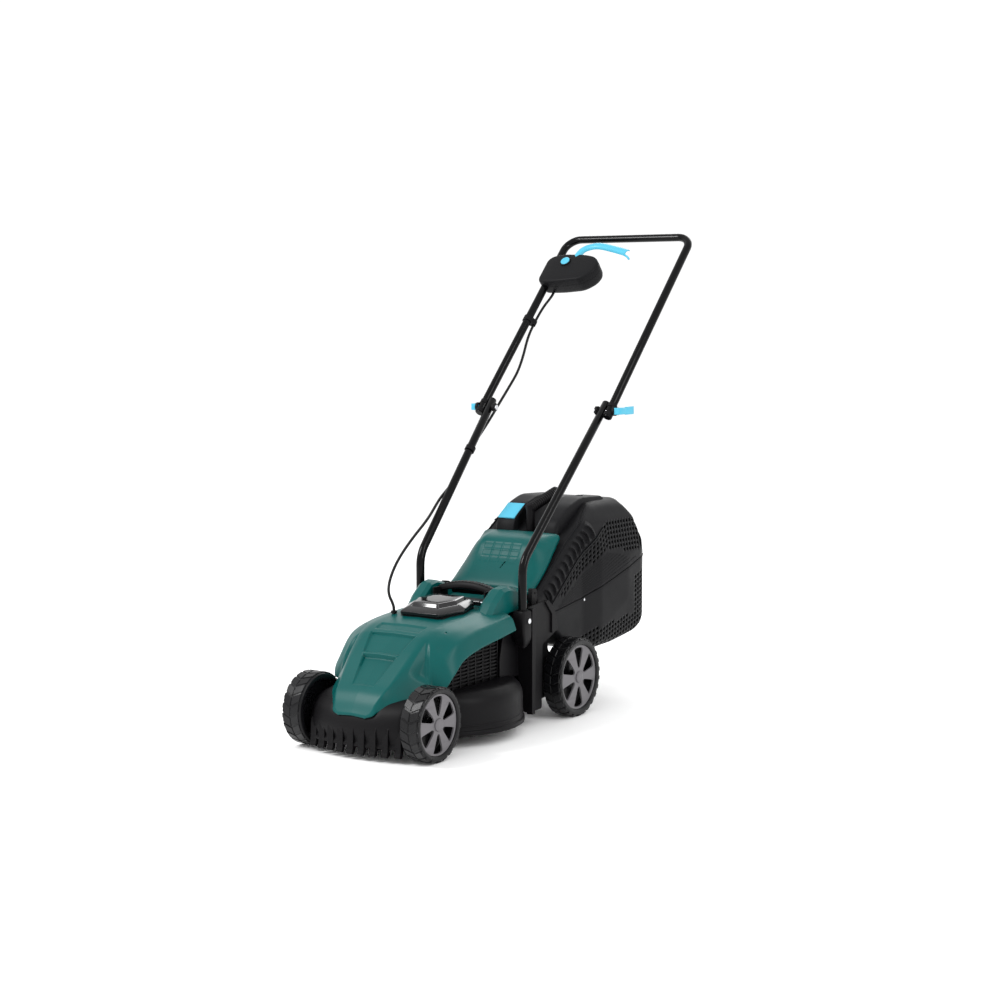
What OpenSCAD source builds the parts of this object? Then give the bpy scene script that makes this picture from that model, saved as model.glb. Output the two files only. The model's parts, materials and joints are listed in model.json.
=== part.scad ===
// Cordless rotary lawn mower with a folding push handle and a rear grass box.
// Millimetres, +Z up. The front faces -Y and the mower's left side is +X.
// The origin is on the ground, under the middle of the overall length.
// Inside the modules Y is measured from the front axle, and ahead of the
// axle is negative; at_origin() moves each piece to the shared frame.

/* [Wheels] */
// Distance between the outer faces of a left and a right wheel
track_w = 350; // [340:2:430]
// Distance between the front axle and the rear axle
wheelbase = 545; // [530:5:660]
// Diameter of a front wheel
front_wheel_d = 155; // [144:1:190]
// Diameter of a rear wheel
rear_wheel_d = 177; // [160:1:215]
// Width of a wheel
wheel_w = 48; // [38:1:54]
// Diameter of an axle rod
axle_d = 10; // [8:0.5:12]

/* [Deck] */
// Outer radius of the round blade housing
skirt_r = 180; // [160:1:200]
// Distance from the front axle back to the blade spindle
cutter_y = 245; // [235:1:260]
// Height of the bottom rim of the deck above the ground
rim_z = 25; // [20:1:32]
// Height of the top plate of the blade housing above the ground
deck_top_z = 116; // [110:1:122]
// Thickness of the deck moulding
deck_wall = 4; // [3:0.5:5]

/* [Hood] */
// Thickness of the hood moulding
hood_wall = 3; // [2:0.5:4]
// Width of the battery bay opening in the hood
bay_w = 104; // [96:1:116]
// Length of the battery bay opening in the hood
bay_l = 112; // [106:1:118]
// Angle that the battery lid rises towards the rear
lid_tilt = 5; // [4:0.5:6]

/* [Cutter] */
// Length of the blade from tip to tip
blade_l = 330; // [290:2:336]
// Width of the blade
blade_w = 44; // [36:1:52]
// Height of the blade above the ground
blade_z = 46; // [40:1:54]
// Diameter of the motor spindle
spindle_d = 12; // [10:0.5:14]
// Outer diameter of the motor can
motor_d = 86; // [78:1:96]

/* [Handle] */
// Diameter of the handle tubes
tube_d = 19; // [17:0.5:22]
// Wall of the handle tubes
tube_wall = 1.4; // [1:0.1:2]
// Distance between the centres of the lower tubes at their feet
foot_w = 272; // [268:2:300]
// Height of the bend in a lower tube above the ground
bend_z = 363; // [350:1:400]
// Angle of the handle above the horizontal
handle_angle = 46; // [42:1:50]
// Length of a lower tube from its bend to the fold joint
lower_l = 441; // [420:5:530]
// Length of the upper frame from the fold joint to its top bar
upper_l = 561; // [540:5:680]
// Distance between the centres of the legs of the upper frame
upper_w = 348; // [344:2:356]

/* [Grass box] */
// Largest width of the grass box
box_w = 276; // [264:2:290]
// Length of the grass box behind its mouth
box_l = 448; // [400:2:524]
// Wall of the grass box
box_wall = 2.6; // [2:0.1:4]

/* [Hidden] */

$fn = 64;
soft_fn = 32;
eps = 0.02;
fit_gap = 0.05;
clear = 0.6;

// Wheels
front_r = front_wheel_d / 2;
rear_r = rear_wheel_d / 2;
wheel_gap = 3;
inner_x = track_w / 2 - wheel_w - wheel_gap;
hub_ratio = 0.815;

// Handle
foot_ahead = 181;
foot_y = wheelbase - foot_ahead;
bend_r = 60;
splay = 3.3;
joint_y = foot_y + lower_l * cos(handle_angle);
joint_z = bend_z + lower_l * sin(handle_angle);
top_y = joint_y + upper_l * cos(handle_angle);
top_z = joint_z + upper_l * sin(handle_angle);
joint_x = foot_w / 2 + lower_l * cos(handle_angle) * tan(splay);

// Shared frame
mid_y = (top_y + tube_d / 2 - front_r) / 2;

module at_origin() {
    translate([0, -mid_y, 0]) children();
}

module both_sides() {
    children();
    mirror([1, 0, 0]) children();
}

// A solid through rings of points, all with the same number of points,
// that run clockwise when seen along the way from ring to ring
module loft(rings) {
    n = len(rings[0]);
    last = (len(rings) - 1) * n;
    sides = [for (i = [0:len(rings) - 2], j = [0:n - 1])
        let (a = i * n + j, b = i * n + (j + 1) % n)
        each [[a, b, b + n], [a, b + n, a + n]]];
    first_cap = [for (j = [n - 1:-1:0]) j];
    last_cap = [for (j = [0:n - 1]) last + j];
    polyhedron([for (r = rings) each r], concat([first_cap], sides, [last_cap]));
}

// A prism with its outline in the YZ plane, from x0 to x1
module side_prism(x0, x1, outline) {
    translate([x0, 0, 0]) rotate([90, 0, 90])
        linear_extrude(x1 - x0) polygon(outline);
}

// ---------------------------------------------------------------- deck
barrel_front = [[-46, rim_z], [-50, 60], [-38, 94], [-10, 118]];
barrel_bow = 22;
barrel_back = 92;

function barrel_ring(x, in) = let (bow = -barrel_bow * (1 - pow(x / inner_x, 2)))
    concat([[x, barrel_back, in > 0 ? rim_z - 5 : rim_z]],
        [[x, barrel_front[0][0] + bow + in, in > 0 ? rim_z - 5 : rim_z]],
        [for (i = [1:3]) [x, barrel_front[i][0] + bow + in,
            barrel_front[i][1] - in * i / 3]],
        [[x, 50, 130 - in], [x, barrel_back, 128 - in]]);

module barrel_shell() {
    steps = 8;
    difference() {
        loft([for (i = [0:steps])
            barrel_ring(inner_x * (2 * i / steps - 1), 0)]);
        loft([for (i = [0:steps])
            barrel_ring((inner_x - deck_wall) * (2 * i / steps - 1),
                deck_wall)]);
    }
}

comb_pitch = 27;
comb_w = 13;
comb_z = 14;

// The row of ribs that lifts the grass ahead of the blade
module front_comb() {
    for (i = [-4:4])
        translate([i * comb_pitch, 0, 0])
            let (bow = barrel_bow * pow(i * comb_pitch / inner_x, 2))
            side_prism(-comb_w / 2, comb_w / 2,
                [[bow - 66, 66], [bow - 75, 60], [bow - 76, rim_z],
                [bow - 74, comb_z + 4], [bow - 70, comb_z],
                [bow - 62, rim_z + 4]]);
}

shelf_r = 30;

module skirt_outline(r, top, low) {
    translate([0, low]) square([r, top - low - shelf_r]);
    translate([0, low]) square([r - shelf_r, top - low]);
    translate([r - shelf_r, top - shelf_r]) circle(shelf_r);
}

module round_skirt() {
    translate([0, cutter_y, 0]) rotate_extrude($fn = 96) difference() {
        union() {
            intersection() {
                skirt_outline(skirt_r, deck_top_z, rim_z);
                translate([0, rim_z]) square([skirt_r, deck_top_z]);
            }
            translate([skirt_r - 9, rim_z]) square([12, 11]);
        }
        intersection() {
            skirt_outline(skirt_r - deck_wall, deck_top_z - deck_wall,
                rim_z - 20);
            translate([0, rim_z - 1]) square([skirt_r, deck_top_z]);
        }
    }
}

// Rear of the deck: the side plates, the rib at each corner and the chute
plate_x = inner_x - 8;
corner_x = foot_w / 2 + 6;
corner_w = 10;
chute_half = 100;
chute_y = cutter_y + skirt_r - 35;
ear_w = 6;
flap_pin_d = 5;
axle_boss_d = 26;

module rear_plate() {
    difference() {
        side_prism(plate_x - deck_wall, plate_x,
            [[cutter_y + 60, deck_top_z - 2], [chute_y, deck_top_z - 2],
            [chute_y, rim_z + 6], [wheelbase - 60, 46],
            [wheelbase + 6, 62], [wheelbase + 18, 90],
            [wheelbase + 4, 118], [wheelbase - 44, 150],
            [mouth_y - 11, 199], [mouth_y - 73, 270],
            [wheelbase - 160, 258], [cutter_y + 80, 236],
            [cutter_y + 60, deck_top_z + 20]]);
        translate([0, wheelbase, rear_r]) rotate([0, 90, 0])
            cylinder(d = axle_d + 2 * fit_gap, h = track_w);
    }
    difference() {
        translate([plate_x - 16, wheelbase, rear_r]) rotate([0, 90, 0])
            cylinder(d = axle_boss_d, h = 20);
        translate([0, wheelbase, rear_r]) rotate([0, 90, 0])
            cylinder(d = axle_d + 2 * fit_gap, h = track_w);
    }
    difference() {
        side_prism(plate_x - deck_wall, plate_x + ear_w,
            [[hinge_y - 14, 252], [hinge_y + 4, 262], [hinge_y + 8, 280],
            [hinge_y + 6, 297], [hinge_y - 10, 297]]);
        translate([0, hinge_y, hinge_z]) rotate([0, 90, 0])
            cylinder(d = flap_pin_d + 2 * fit_gap, h = track_w);
    }
}

panel_y = foot_y + 16;

// The outer side panel that stands ahead of the rear wheel and over it
module corner_panel() {
    side_prism(corner_x - deck_wall, corner_x,
        [[panel_y, rim_z + 8], [wheelbase - rear_r - 22, rim_z + 8],
        [wheelbase - rear_r - 20, 176], [wheelbase - 66, 192],
        [wheelbase - 50, 200], [wheelbase - 66, 250],
        [wheelbase - 96, 272], [panel_y, 262]]);
    side_prism(corner_x - deck_wall, corner_x + corner_w,
        [[panel_y, rim_z + 8], [panel_y + 10, rim_z + 8],
        [panel_y + 14, 254], [panel_y, 254]]);
    side_prism(plate_x - eps, corner_x - deck_wall + eps,
        [[panel_y, rim_z + 8], [panel_y + 8, rim_z + 8],
        [panel_y + 12, 240], [panel_y, 240]]);
    side_prism(plate_x - eps, corner_x - deck_wall + eps,
        [[wheelbase - rear_r - 24, 174], [wheelbase - 52, 196],
        [wheelbase - 52, 200], [wheelbase - rear_r - 24, 178]]);
}

module chute() {
    side_prism(-plate_x + deck_wall - eps, plate_x - deck_wall + eps,
        [[cutter_y + skirt_r - 3, rim_z + 34], [mouth_y - 12, 186],
        [mouth_y - 16, 188], [cutter_y + skirt_r - 7, rim_z + 38]]);
    side_prism(-plate_x + deck_wall - eps, plate_x - deck_wall + eps,
        [[chute_y - 2, deck_top_z - 2], [chute_y + 2, deck_top_z - 2],
        [hinge_y - 12, 256], [hinge_y - 18, 256]]);
}

motor_seat_d = motor_d - 16;

module deck() {
    color("#26282a") at_origin() {
        difference() {
            union() {
                difference() {
                    barrel_shell();
                    translate([0, cutter_y, -1])
                        cylinder(r = skirt_r - 2, h = deck_top_z - 1, $fn = 96);
                }
                front_comb();
                difference() {
                    round_skirt();
                    side_prism(-chute_half, chute_half,
                        [[chute_y + 2, rim_z + 38],
                        [cutter_y + skirt_r + 20, rim_z + 38],
                        [cutter_y + skirt_r + 20, deck_top_z + 5],
                        [chute_y + 2, deck_top_z + 5]]);
                }
                side_prism(-inner_x + 2, inner_x - 2,
                    [[86, deck_top_z - deck_wall], [86, 127.5],
                    [92, 127.5], [cutter_y - 140, deck_top_z],
                    [cutter_y - 110, deck_top_z],
                    [cutter_y - 110, deck_top_z - deck_wall]]);
            }
            translate([0, cutter_y, 0]) cylinder(d = motor_seat_d, h = 200);
            translate([0, 0, front_r]) rotate([0, 90, 0])
                cylinder(d = axle_d + 2 * fit_gap, h = track_w, center = true);
        }
        both_sides() {
            rear_plate();
            corner_panel();
        }
        chute();
    }
}

// ---------------------------------------------------------------- hood
flare_x = foot_w / 2 + 15;
shoulder_y = foot_y - 42;

// Each station: y, ridge half-width and height, middle of the flare, edge
hood_stations = [
    [-64, 40, 93, 43, 91, 45, 88],
    [-52, 52, 116, 54, 108, 56, 100],
    [-41, 58, 131, 62, 120, 66, 108],
    [-21, 63, 148, 70, 134, 78, 120.5],
    [7, 70, 174, 82, 156, 95, 125],
    [40, 75, 205, 96, 184, 120, 131],
    [54, 76, 217, 101, 196, inner_x - 1, 136],
    [60, 76, 222, 105, 202, flare_x - 6, 138],
    [80, 78, 236, 112, 216, flare_x, 164],
    [118, 80, 249, 118, 233, flare_x, 192],
    [180, 82, 257, 122, 245, flare_x, 209],
    [255, 84, 263, 124, 252, flare_x, 219],
    [shoulder_y, 88, 267, 122, 257, flare_x - 4, 226]];

function hood_ring(s, in, drop, shift) = let (y = s[0] + shift) [
    [s[5] - in, y, s[6] - drop], [s[3] - in, y, s[4] - in],
    [s[1] - in / 2, y, s[2] - in], [0, y, s[2] + 2 - in],
    [-s[1] + in / 2, y, s[2] - in], [-s[3] + in, y, s[4] - in],
    [-s[5] + in, y, s[6] - drop]];

function end_shift(i) = i == 0 ? hood_wall
    : i == len(hood_stations) - 1 ? 1 : 0;

bay_y = 182;
bay_z = 258;
recess_half = 74;
block_x = foot_w / 2 - 24;
hinge_ahead = 109;
hinge_y = wheelbase - hinge_ahead;
hinge_z = 288;
lid_pivot_y = bay_y + bay_l + 5;
lid_pivot_z = 280;
lid_pin_d = 4;

module shoulder() {
    side_prism(recess_half, block_x,
        [[shoulder_y - 70, 262], [shoulder_y - 48, 286],
        [shoulder_y, 308], [shoulder_y + 22, 312], [foot_y + 20, 304],
        [hinge_y - 22, 290], [hinge_y - 16, 276], [hinge_y - 16, 258],
        [shoulder_y - 60, 258]]);
}

module hood() {
    color("#1c6b66") at_origin() difference() {
        union() {
            difference() {
                loft([for (s = hood_stations) hood_ring(s, 0, 0, 0)]);
                loft([for (i = [0:len(hood_stations) - 1])
                    hood_ring(hood_stations[i], hood_wall, 14,
                        end_shift(i))]);
            }
            difference() {
                side_prism(-block_x, block_x,
                    [[shoulder_y - 6, 240], [shoulder_y - 6, 266],
                    [hinge_y - 16, 274], [hinge_y - 16, 262],
                    [foot_y + 6, 240]]);
                side_prism(-block_x + hood_wall, block_x - hood_wall,
                    [[shoulder_y - 10, 230], [shoulder_y - 10, 262],
                    [hinge_y - 19, 270], [hinge_y - 19, 230]]);
            }
            both_sides() shoulder();
        }
        translate([-bay_w / 2, bay_y, 200]) cube([bay_w, bay_l, 120]);
        translate([-gland_x, gland_y, 230])
            cylinder(d = gland_d + 2 * fit_gap, h = 50);
        translate([-recess_half - 5, lid_pivot_y, lid_pivot_z])
            rotate([0, 90, 0])
            cylinder(d = lid_pin_d + 2 * fit_gap, h = 2 * recess_half + 10);
        both_sides() translate([104, 122, 200]) cylinder(d = 5, h = 60);
    }
}

// A grille panel of short slots under each side arch of the hood
vent_x = plate_x - 3;
vent_cols = 6;
vent_rows = 8;
vent_y = cutter_y - 138;
vent_end = cutter_y + 58;
vent_pitch = 32;

module vent_panel() {
    difference() {
        side_prism(vent_x - 3, vent_x,
            [[vent_y, deck_top_z + clear], [vent_end, deck_top_z + clear],
            [vent_end, 222], [cutter_y, 215], [vent_y + 70, 204],
            [vent_y + 28, 184], [vent_y, 150]]);
        for (c = [0:vent_cols - 1], r = [0:vent_rows - 1])
            if (r < 2 + 2.4 * c)
                translate([vent_x - 5, vent_y + 6 + c * vent_pitch,
                    deck_top_z + 8 + r * 11]) cube([8, 25, 5]);
    }
}

module side_vent_right() {
    color("#2b2d30") at_origin() mirror([1, 0, 0]) vent_panel();
}

module side_vent_left() {
    color("#2b2d30") at_origin() vent_panel();
}

// ------------------------------------------------- motor and electrics
motor_top_z = 188;

module motor_case() {
    color("#4a4d50") at_origin() translate([0, cutter_y, 0]) difference() {
        union() {
            translate([0, 0, deck_top_z + eps])
                cylinder(d = motor_d, h = motor_top_z - deck_top_z);
            translate([0, 0, deck_top_z - deck_wall - 10])
                cylinder(d = motor_seat_d - 2 * clear,
                    h = deck_wall + 10 + 1);
        }
        translate([0, 0, 60])
            cylinder(d = spindle_d + 2 * fit_gap, h = 110);
        translate([0, 0, deck_top_z + 12])
            cylinder(d = motor_d - 20, h = 46);
    }
}

module control_unit() {
    color("#33373a") at_origin()
        translate([-35, cutter_y - 140, deck_top_z + eps])
        cube([70, 56, 60]);
}

tray_wall = 2.5;
tray_z = motor_top_z + 2 * eps;

module battery_tray() {
    color("#232527") at_origin() difference() {
        translate([-bay_w / 2 + 1, bay_y + 1, tray_z])
            cube([bay_w - 2, bay_l - 2, bay_z - tray_z]);
        translate([-bay_w / 2 + 1 + tray_wall, bay_y + 1 + tray_wall,
            tray_z + 3]) cube([bay_w - 2 - 2 * tray_wall,
            bay_l - 2 - 2 * tray_wall, 100]);
    }
}

module battery_pack() {
    pack_gap = 1.5;
    inset = 1 + tray_wall + pack_gap;
    color("#1f2123") at_origin() {
        translate([-bay_w / 2 + inset, bay_y + inset, tray_z + 3])
            cube([bay_w - 2 * inset, bay_l - 2 * inset, 48]);
        translate([-26, bay_y + 14, tray_z + 3])
            cube([52, bay_l - 36, 62]);
    }
}

// The battery lid is a faceted cap, tilted with the hood
lid_y = bay_y + bay_l / 2 - 2;
lid_z = 265;

module lid_hex(front_half, mid_half, back_half, len_front, len_back, h) {
    linear_extrude(h) polygon([[-front_half, -len_front],
        [front_half, -len_front], [mid_half, 4], [back_half, len_back],
        [-back_half, len_back], [-mid_half, 4]]);
}

module battery_lid() {
    color("#242328") at_origin() difference() {
        union() {
            translate([0, lid_y, lid_z]) rotate([lid_tilt, 0, 0]) {
                hull() {
                    lid_hex(50, 73, 58, 70, 64, 8);
                    lid_hex(42, 62, 52, 60, 58, 17);
                }
                hull() {
                    translate([0, 0, 16]) lid_hex(38, 58, 48, 55, 54, 1);
                    translate([0, 0, 16]) lid_hex(31, 48, 42, 44, 44, 9);
                }
            }
            translate([-38, lid_pivot_y, lid_pivot_z]) rotate([0, 90, 0])
                cylinder(d = 9, h = 76);
        }
        translate([0, lid_y, lid_z - 0.01]) rotate([lid_tilt, 0, 0])
            translate([0, 0, -1]) lid_hex(42, 58, 50, 60, 52, 10);
        translate([-recess_half - 5, lid_pivot_y, lid_pivot_z])
            rotate([0, 90, 0])
            cylinder(d = lid_pin_d + 2 * fit_gap, h = 2 * recess_half + 10);
    }
}

module lid_pin() {
    color("#b8bcc0") at_origin()
        translate([-recess_half - 4, lid_pivot_y, lid_pivot_z])
        rotate([0, 90, 0]) cylinder(d = lid_pin_d, h = 2 * recess_half + 8);
}

// The arched carrying grip behind the battery lid
grip_y = foot_y - 10;

module carry_handle() {
    color("#1d1e20") at_origin() {
        both_sides() side_prism(recess_half - 10, recess_half,
            [[grip_y - 14, 284], [grip_y + 14, 286], [grip_y + 13, 304],
            [grip_y - 12, 304]]);
        translate([-recess_half, grip_y, 303]) rotate([0, 90, 0])
            cylinder(d = 24, h = 2 * recess_half);
    }
}

gland_x = 78;
gland_y = 186;
gland_d = 9;

// ------------------------------------------------------ handle sockets
socket_z = 184;
socket_top_z = 258;
tube_foot_z = 200;
socket_bolt_z = 238;

module socket() {
    difference() {
        union() {
            translate([foot_w / 2 - 15, foot_y - 20, socket_z + 14])
                cube([30, 36, socket_top_z - socket_z - 14]);
            side_prism(foot_w / 2 - 15, foot_w / 2 + 15,
                [[foot_y + 10, socket_z - 8], [foot_y + 16, socket_z + 15],
                [foot_y - 20, socket_z + 15], [foot_y - 6, socket_z - 2]]);
        }
        translate([foot_w / 2, foot_y, tube_foot_z])
            cylinder(d = tube_d + 2 * fit_gap, h = 100);
        translate([foot_w / 2 - 40, foot_y, socket_bolt_z])
            rotate([0, 90, 0]) cylinder(d = 6 + 2 * fit_gap, h = 80);
    }
}

module handle_socket_right() {
    color("#222426") at_origin() mirror([1, 0, 0]) socket();
}

module handle_socket_left() {
    color("#222426") at_origin() socket();
}

module cap_bolt(len, head_d, head_h) {
    cylinder(d = 6, h = len + 1);
    translate([0, 0, len]) cylinder(d = head_d, h = head_h);
}

module socket_bolts() {
    color("#c8ccd0") at_origin() both_sides()
        translate([foot_w / 2 - 14, foot_y, socket_bolt_z])
        rotate([0, 90, 0]) cap_bolt(29 + eps, 11, 4);
}

// --------------------------------------------------- axles and wheels
module axle_rod(r) {
    translate([0, 0, r]) rotate([0, 90, 0])
        cylinder(d = axle_d, h = track_w - 2 * trim_z, center = true);
}

module front_axle() {
    color("#9aa0a5") at_origin() axle_rod(front_r);
}

module rear_axle() {
    color("#9aa0a5") at_origin() translate([0, wheelbase, 0])
        axle_rod(rear_r);
}

clip_x = track_w / 2 - wheel_w - 2.4;

module axle_clips() {
    color("#8f9499") at_origin() both_sides() {
        translate([clip_x, 0, front_r]) rotate([0, 90, 0]) difference() {
            cylinder(d = axle_d + 10, h = 1.6);
            translate([0, 0, -1]) cylinder(d = axle_d, h = 4);
        }
        translate([clip_x, wheelbase, rear_r]) rotate([0, 90, 0])
            difference() {
            cylinder(d = axle_d + 10, h = 1.6);
            translate([0, 0, -1]) cylinder(d = axle_d, h = 4);
        }
    }
}

tyre_round = 5;
web_z = 14;
web_t = 4;
boss_d = 26;
trim_z = 9;
trim_t = 5;

// Both wheel modules lie on the Z axis, with the outer face at z = wheel_w
module tyre(r) {
    rim_r = r * hub_ratio;
    rotate_extrude($fn = 96) {
        difference() {
            union() {
                translate([rim_r - 3, tyre_round])
                    square([r - rim_r + 3, wheel_w - 2 * tyre_round]);
                translate([rim_r - 3, 0])
                    square([r - rim_r + 3 - tyre_round, wheel_w]);
                translate([r - tyre_round, tyre_round]) circle(tyre_round);
                translate([r - tyre_round, wheel_w - tyre_round])
                    circle(tyre_round);
            }
            translate([0, wheel_w - trim_z])
                square([rim_r + fit_gap, trim_z + 1]);
        }
        translate([axle_d / 2 + fit_gap, web_z]) square([rim_r - 8, web_t]);
        translate([axle_d / 2 + fit_gap, 2])
            square([(boss_d - axle_d) / 2, wheel_w - trim_z - 2]);
    }
}

spokes = 6;

// The grey trim that snaps into the outer face of the wheel
module hub(r) {
    rim_r = r * hub_ratio;
    translate([0, 0, wheel_w - trim_z + eps]) difference() {
        union() {
            cylinder(r = rim_r, h = trim_t, $fn = 96);
            difference() {
                cylinder(r = rim_r, h = trim_z - 2, $fn = 96);
                translate([0, 0, -1])
                    cylinder(r = rim_r - 5, h = trim_z + 2, $fn = 96);
            }
        }
        for (i = [0:spokes - 1]) rotate(i * 360 / spokes)
            translate([0, 0, -5]) linear_extrude(20)
            polygon([[19, -3], [rim_r - 9, -15], [rim_r - 6, -9],
                [rim_r - 6, 9], [rim_r - 9, 15], [19, 3]]);
        translate([0, 0, -1]) cylinder(d = axle_d + 2 * clear, h = 60);
    }
}

module wheel_cap() {
    translate([0, 0, wheel_w - trim_z + trim_t + 2 * eps])
        cylinder(d1 = 22, d2 = 17, h = 3);
}

module place_wheel(y, r, side) {
    at_origin() mirror([side > 0 ? 0 : 1, 0, 0])
        translate([track_w / 2 - wheel_w, y, r]) rotate([0, 90, 0])
        children();
}

module front_tyre_right() {
    color("#1b1c1e") place_wheel(0, front_r, -1) tyre(front_r);
}

module front_hub_right() {
    color("#8d9093") place_wheel(0, front_r, -1) hub(front_r);
}

module front_cap_right() {
    color("#a0a3a6") place_wheel(0, front_r, -1) wheel_cap();
}

module front_tyre_left() {
    color("#1b1c1e") place_wheel(0, front_r, 1) tyre(front_r);
}

module front_hub_left() {
    color("#8d9093") place_wheel(0, front_r, 1) hub(front_r);
}

module front_cap_left() {
    color("#a0a3a6") place_wheel(0, front_r, 1) wheel_cap();
}

module rear_tyre_right() {
    color("#1b1c1e") place_wheel(wheelbase, rear_r, -1) tyre(rear_r);
}

module rear_hub_right() {
    color("#8d9093") place_wheel(wheelbase, rear_r, -1) hub(rear_r);
}

module rear_cap_right() {
    color("#a0a3a6") place_wheel(wheelbase, rear_r, -1) wheel_cap();
}

module rear_tyre_left() {
    color("#1b1c1e") place_wheel(wheelbase, rear_r, 1) tyre(rear_r);
}

module rear_hub_left() {
    color("#8d9093") place_wheel(wheelbase, rear_r, 1) hub(rear_r);
}

module rear_cap_left() {
    color("#a0a3a6") place_wheel(wheelbase, rear_r, 1) wheel_cap();
}

// -------------------------------------------------------------- cutter
blade_t = 3;
blade_top_z = blade_z + blade_t;

module motor_spindle() {
    color("#b4b8bc") at_origin() translate([0, cutter_y, blade_top_z + 22])
        cylinder(d = spindle_d, h = 96);
}

module blade_fan() {
    color("#2c2e31") at_origin() translate([0, cutter_y, blade_top_z]) {
        difference() {
            union() {
                cylinder(d = 40, h = 36);
                for (i = [0:5]) rotate(i * 60)
                    translate([18, -1.5, 8]) cube([36, 3, 22]);
                translate([0, 0, 6]) cylinder(d = 110, h = 3);
            }
            translate([0, 0, 22]) cylinder(d = spindle_d + 2 * fit_gap, h = 20);
            translate([0, 0, -1]) cylinder(d = 8 + 2 * fit_gap, h = 30);
        }
    }
}

module blade() {
    color("#a3a8ad") at_origin() translate([0, cutter_y, blade_z])
        difference() {
        union() {
            translate([-blade_w / 2, -blade_l / 2 + 6, 0])
                cube([blade_w, blade_l - 12, blade_t]);
            intersection() {
                cylinder(d = blade_l, h = blade_t, $fn = 96);
                translate([-blade_w / 2, -blade_l / 2, 0])
                    cube([blade_w, blade_l, blade_t]);
            }
        }
        translate([blade_w / 2 - 10, blade_l / 2 - 74, -1])
            rotate([0, -18, 0]) translate([0, 0, -6]) cube([30, 80, 6]);
        translate([0, 0, -1]) cylinder(d = 8 + 2 * fit_gap, h = 10);
    }
}

module blade_bolt() {
    color("#70767b") at_origin() translate([0, cutter_y, 0]) {
        translate([0, 0, blade_z - 1.6]) cylinder(d = 24, h = 1.6);
        translate([0, 0, blade_z - 7.5]) cylinder(d = 13, h = 6, $fn = 6);
        translate([0, 0, blade_z - 2]) cylinder(d = 8, h = 27);
    }
}

// ----------------------------------------------------------- rear flap
flap_half = 109;
flap_outline = [[4, -6], [-6, 2], [-4, 14], [40, 62], [60, 94], [80, 108],
    [100, 113], [136, 116], [146, 110], [142, 103]];

function at_hinge(p) = [p[0] + hinge_y, p[1] + hinge_z];

module rear_flap() {
    color("#1c6b66") at_origin() difference() {
        union() {
            intersection() {
                side_prism(-flap_half, flap_half,
                    [for (p = flap_outline) at_hinge(p)]);
                translate([0, hinge_y, hinge_z]) rotate([40, 0, 0])
                    translate([0, 0, -30]) linear_extrude(120)
                    polygon([[-flap_half, -30], [flap_half, -30],
                    [flap_half, 164], [flap_half - 12, 184],
                    [-flap_half + 12, 184], [-flap_half, 164]]);
            }
            translate([-flap_half, hinge_y, hinge_z])
                rotate([0, 90, 0]) cylinder(d = 13, h = 2 * flap_half);
        }
        side_prism(-flap_half + 3, flap_half - 3,
            [[hinge_y + 12, hinge_z - 10], [hinge_y + 6, hinge_z + 18],
            [hinge_y + 42, hinge_z + 57], [hinge_y + 63, hinge_z + 91],
            [hinge_y + 82, hinge_z + 104], [hinge_y + 101, hinge_z + 109],
            [hinge_y + 134, hinge_z + 111.5], [hinge_y + 150, hinge_z + 97]]);
        translate([-flap_half - 5, hinge_y, hinge_z]) rotate([0, 90, 0])
            cylinder(d = flap_pin_d + 2 * fit_gap, h = 2 * flap_half + 10);
    }
}

module flap_pin() {
    color("#b8bcc0") at_origin() {
        translate([-plate_x - ear_w, hinge_y, hinge_z]) rotate([0, 90, 0])
            cylinder(d = flap_pin_d, h = 2 * (plate_x + ear_w));
    }
}

// ----------------------------------------------------------- grass box
// The side view of the box; the mouth leans on the rear of the deck
mouth_ahead = 38;
mouth_y = wheelbase - mouth_ahead;
box_end = mouth_y + box_l;
rail_x = 122;
box_outline = [[mouth_y - 8, 200], [mouth_y + 40, 156],
    [mouth_y + 182, 122], [mouth_y + 275, 126], [box_end - 62, 148],
    [box_end - 26, 170], [box_end - 4, 196], [box_end, 240],
    [box_end - 8, 312], [box_end - 42, 360], [box_end - 96, 446],
    [box_end - 124, 464], [mouth_y + 236, 470], [mouth_y + 200, 466],
    [mouth_y + 72, 386], [mouth_y - 58, 281], [mouth_y - 62, 262],
    [mouth_y - 14, 206]];
box_plan = [[rail_x, mouth_y - 90], [rail_x, mouth_y + 134],
    [box_w / 2 - 4, mouth_y + 200], [box_w / 2, box_end - 110],
    [box_w / 2 - 4, box_end - 44], [box_w / 2 - 20, box_end - 10],
    [box_w / 2 - 48, box_end]];
box_front = [[box_w / 2 - 34, 100], [box_w / 2 - 6, 146],
    [box_w / 2, 230], [box_w / 2, 330], [rail_x + 2, 420],
    [rail_x - 22, 462], [rail_x - 46, 480]];
seam = [[mouth_y - 60, 226], [mouth_y + 130, 252], [box_end + 20, 340]];

function mirrored(half) = concat(half,
    [for (i = [len(half) - 1:-1:0]) [-half[i][0], half[i][1]]]);

// The box as one closed solid, shrunk by the wall when in is not 0
module box_form(in) {
    intersection() {
        translate([-box_w, 0, 0]) rotate([90, 0, 90])
            linear_extrude(2 * box_w) offset(delta = -in)
            polygon(box_outline);
        translate([0, 0, 50]) linear_extrude(500) offset(delta = -in)
            polygon(mirrored(box_plan));
        translate([0, box_end + 50, 0]) rotate([90, 0, 0])
            linear_extrude(box_l + 200) offset(delta = -in)
            polygon(mirrored(box_front));
    }
}

// The mouth of the box is open towards the chute
module mouth_cut() {
    side_prism(-rail_x + 14, rail_x - 14,
        [[mouth_y - 120, 278], [mouth_y - 54, 274], [mouth_y - 40, 258],
        [mouth_y + 6, 200], [mouth_y - 2, 190], [mouth_y - 120, 190]]);
}

module box_shell() {
    difference() {
        box_form(0);
        box_form(box_wall);
        mouth_cut();
    }
}

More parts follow.
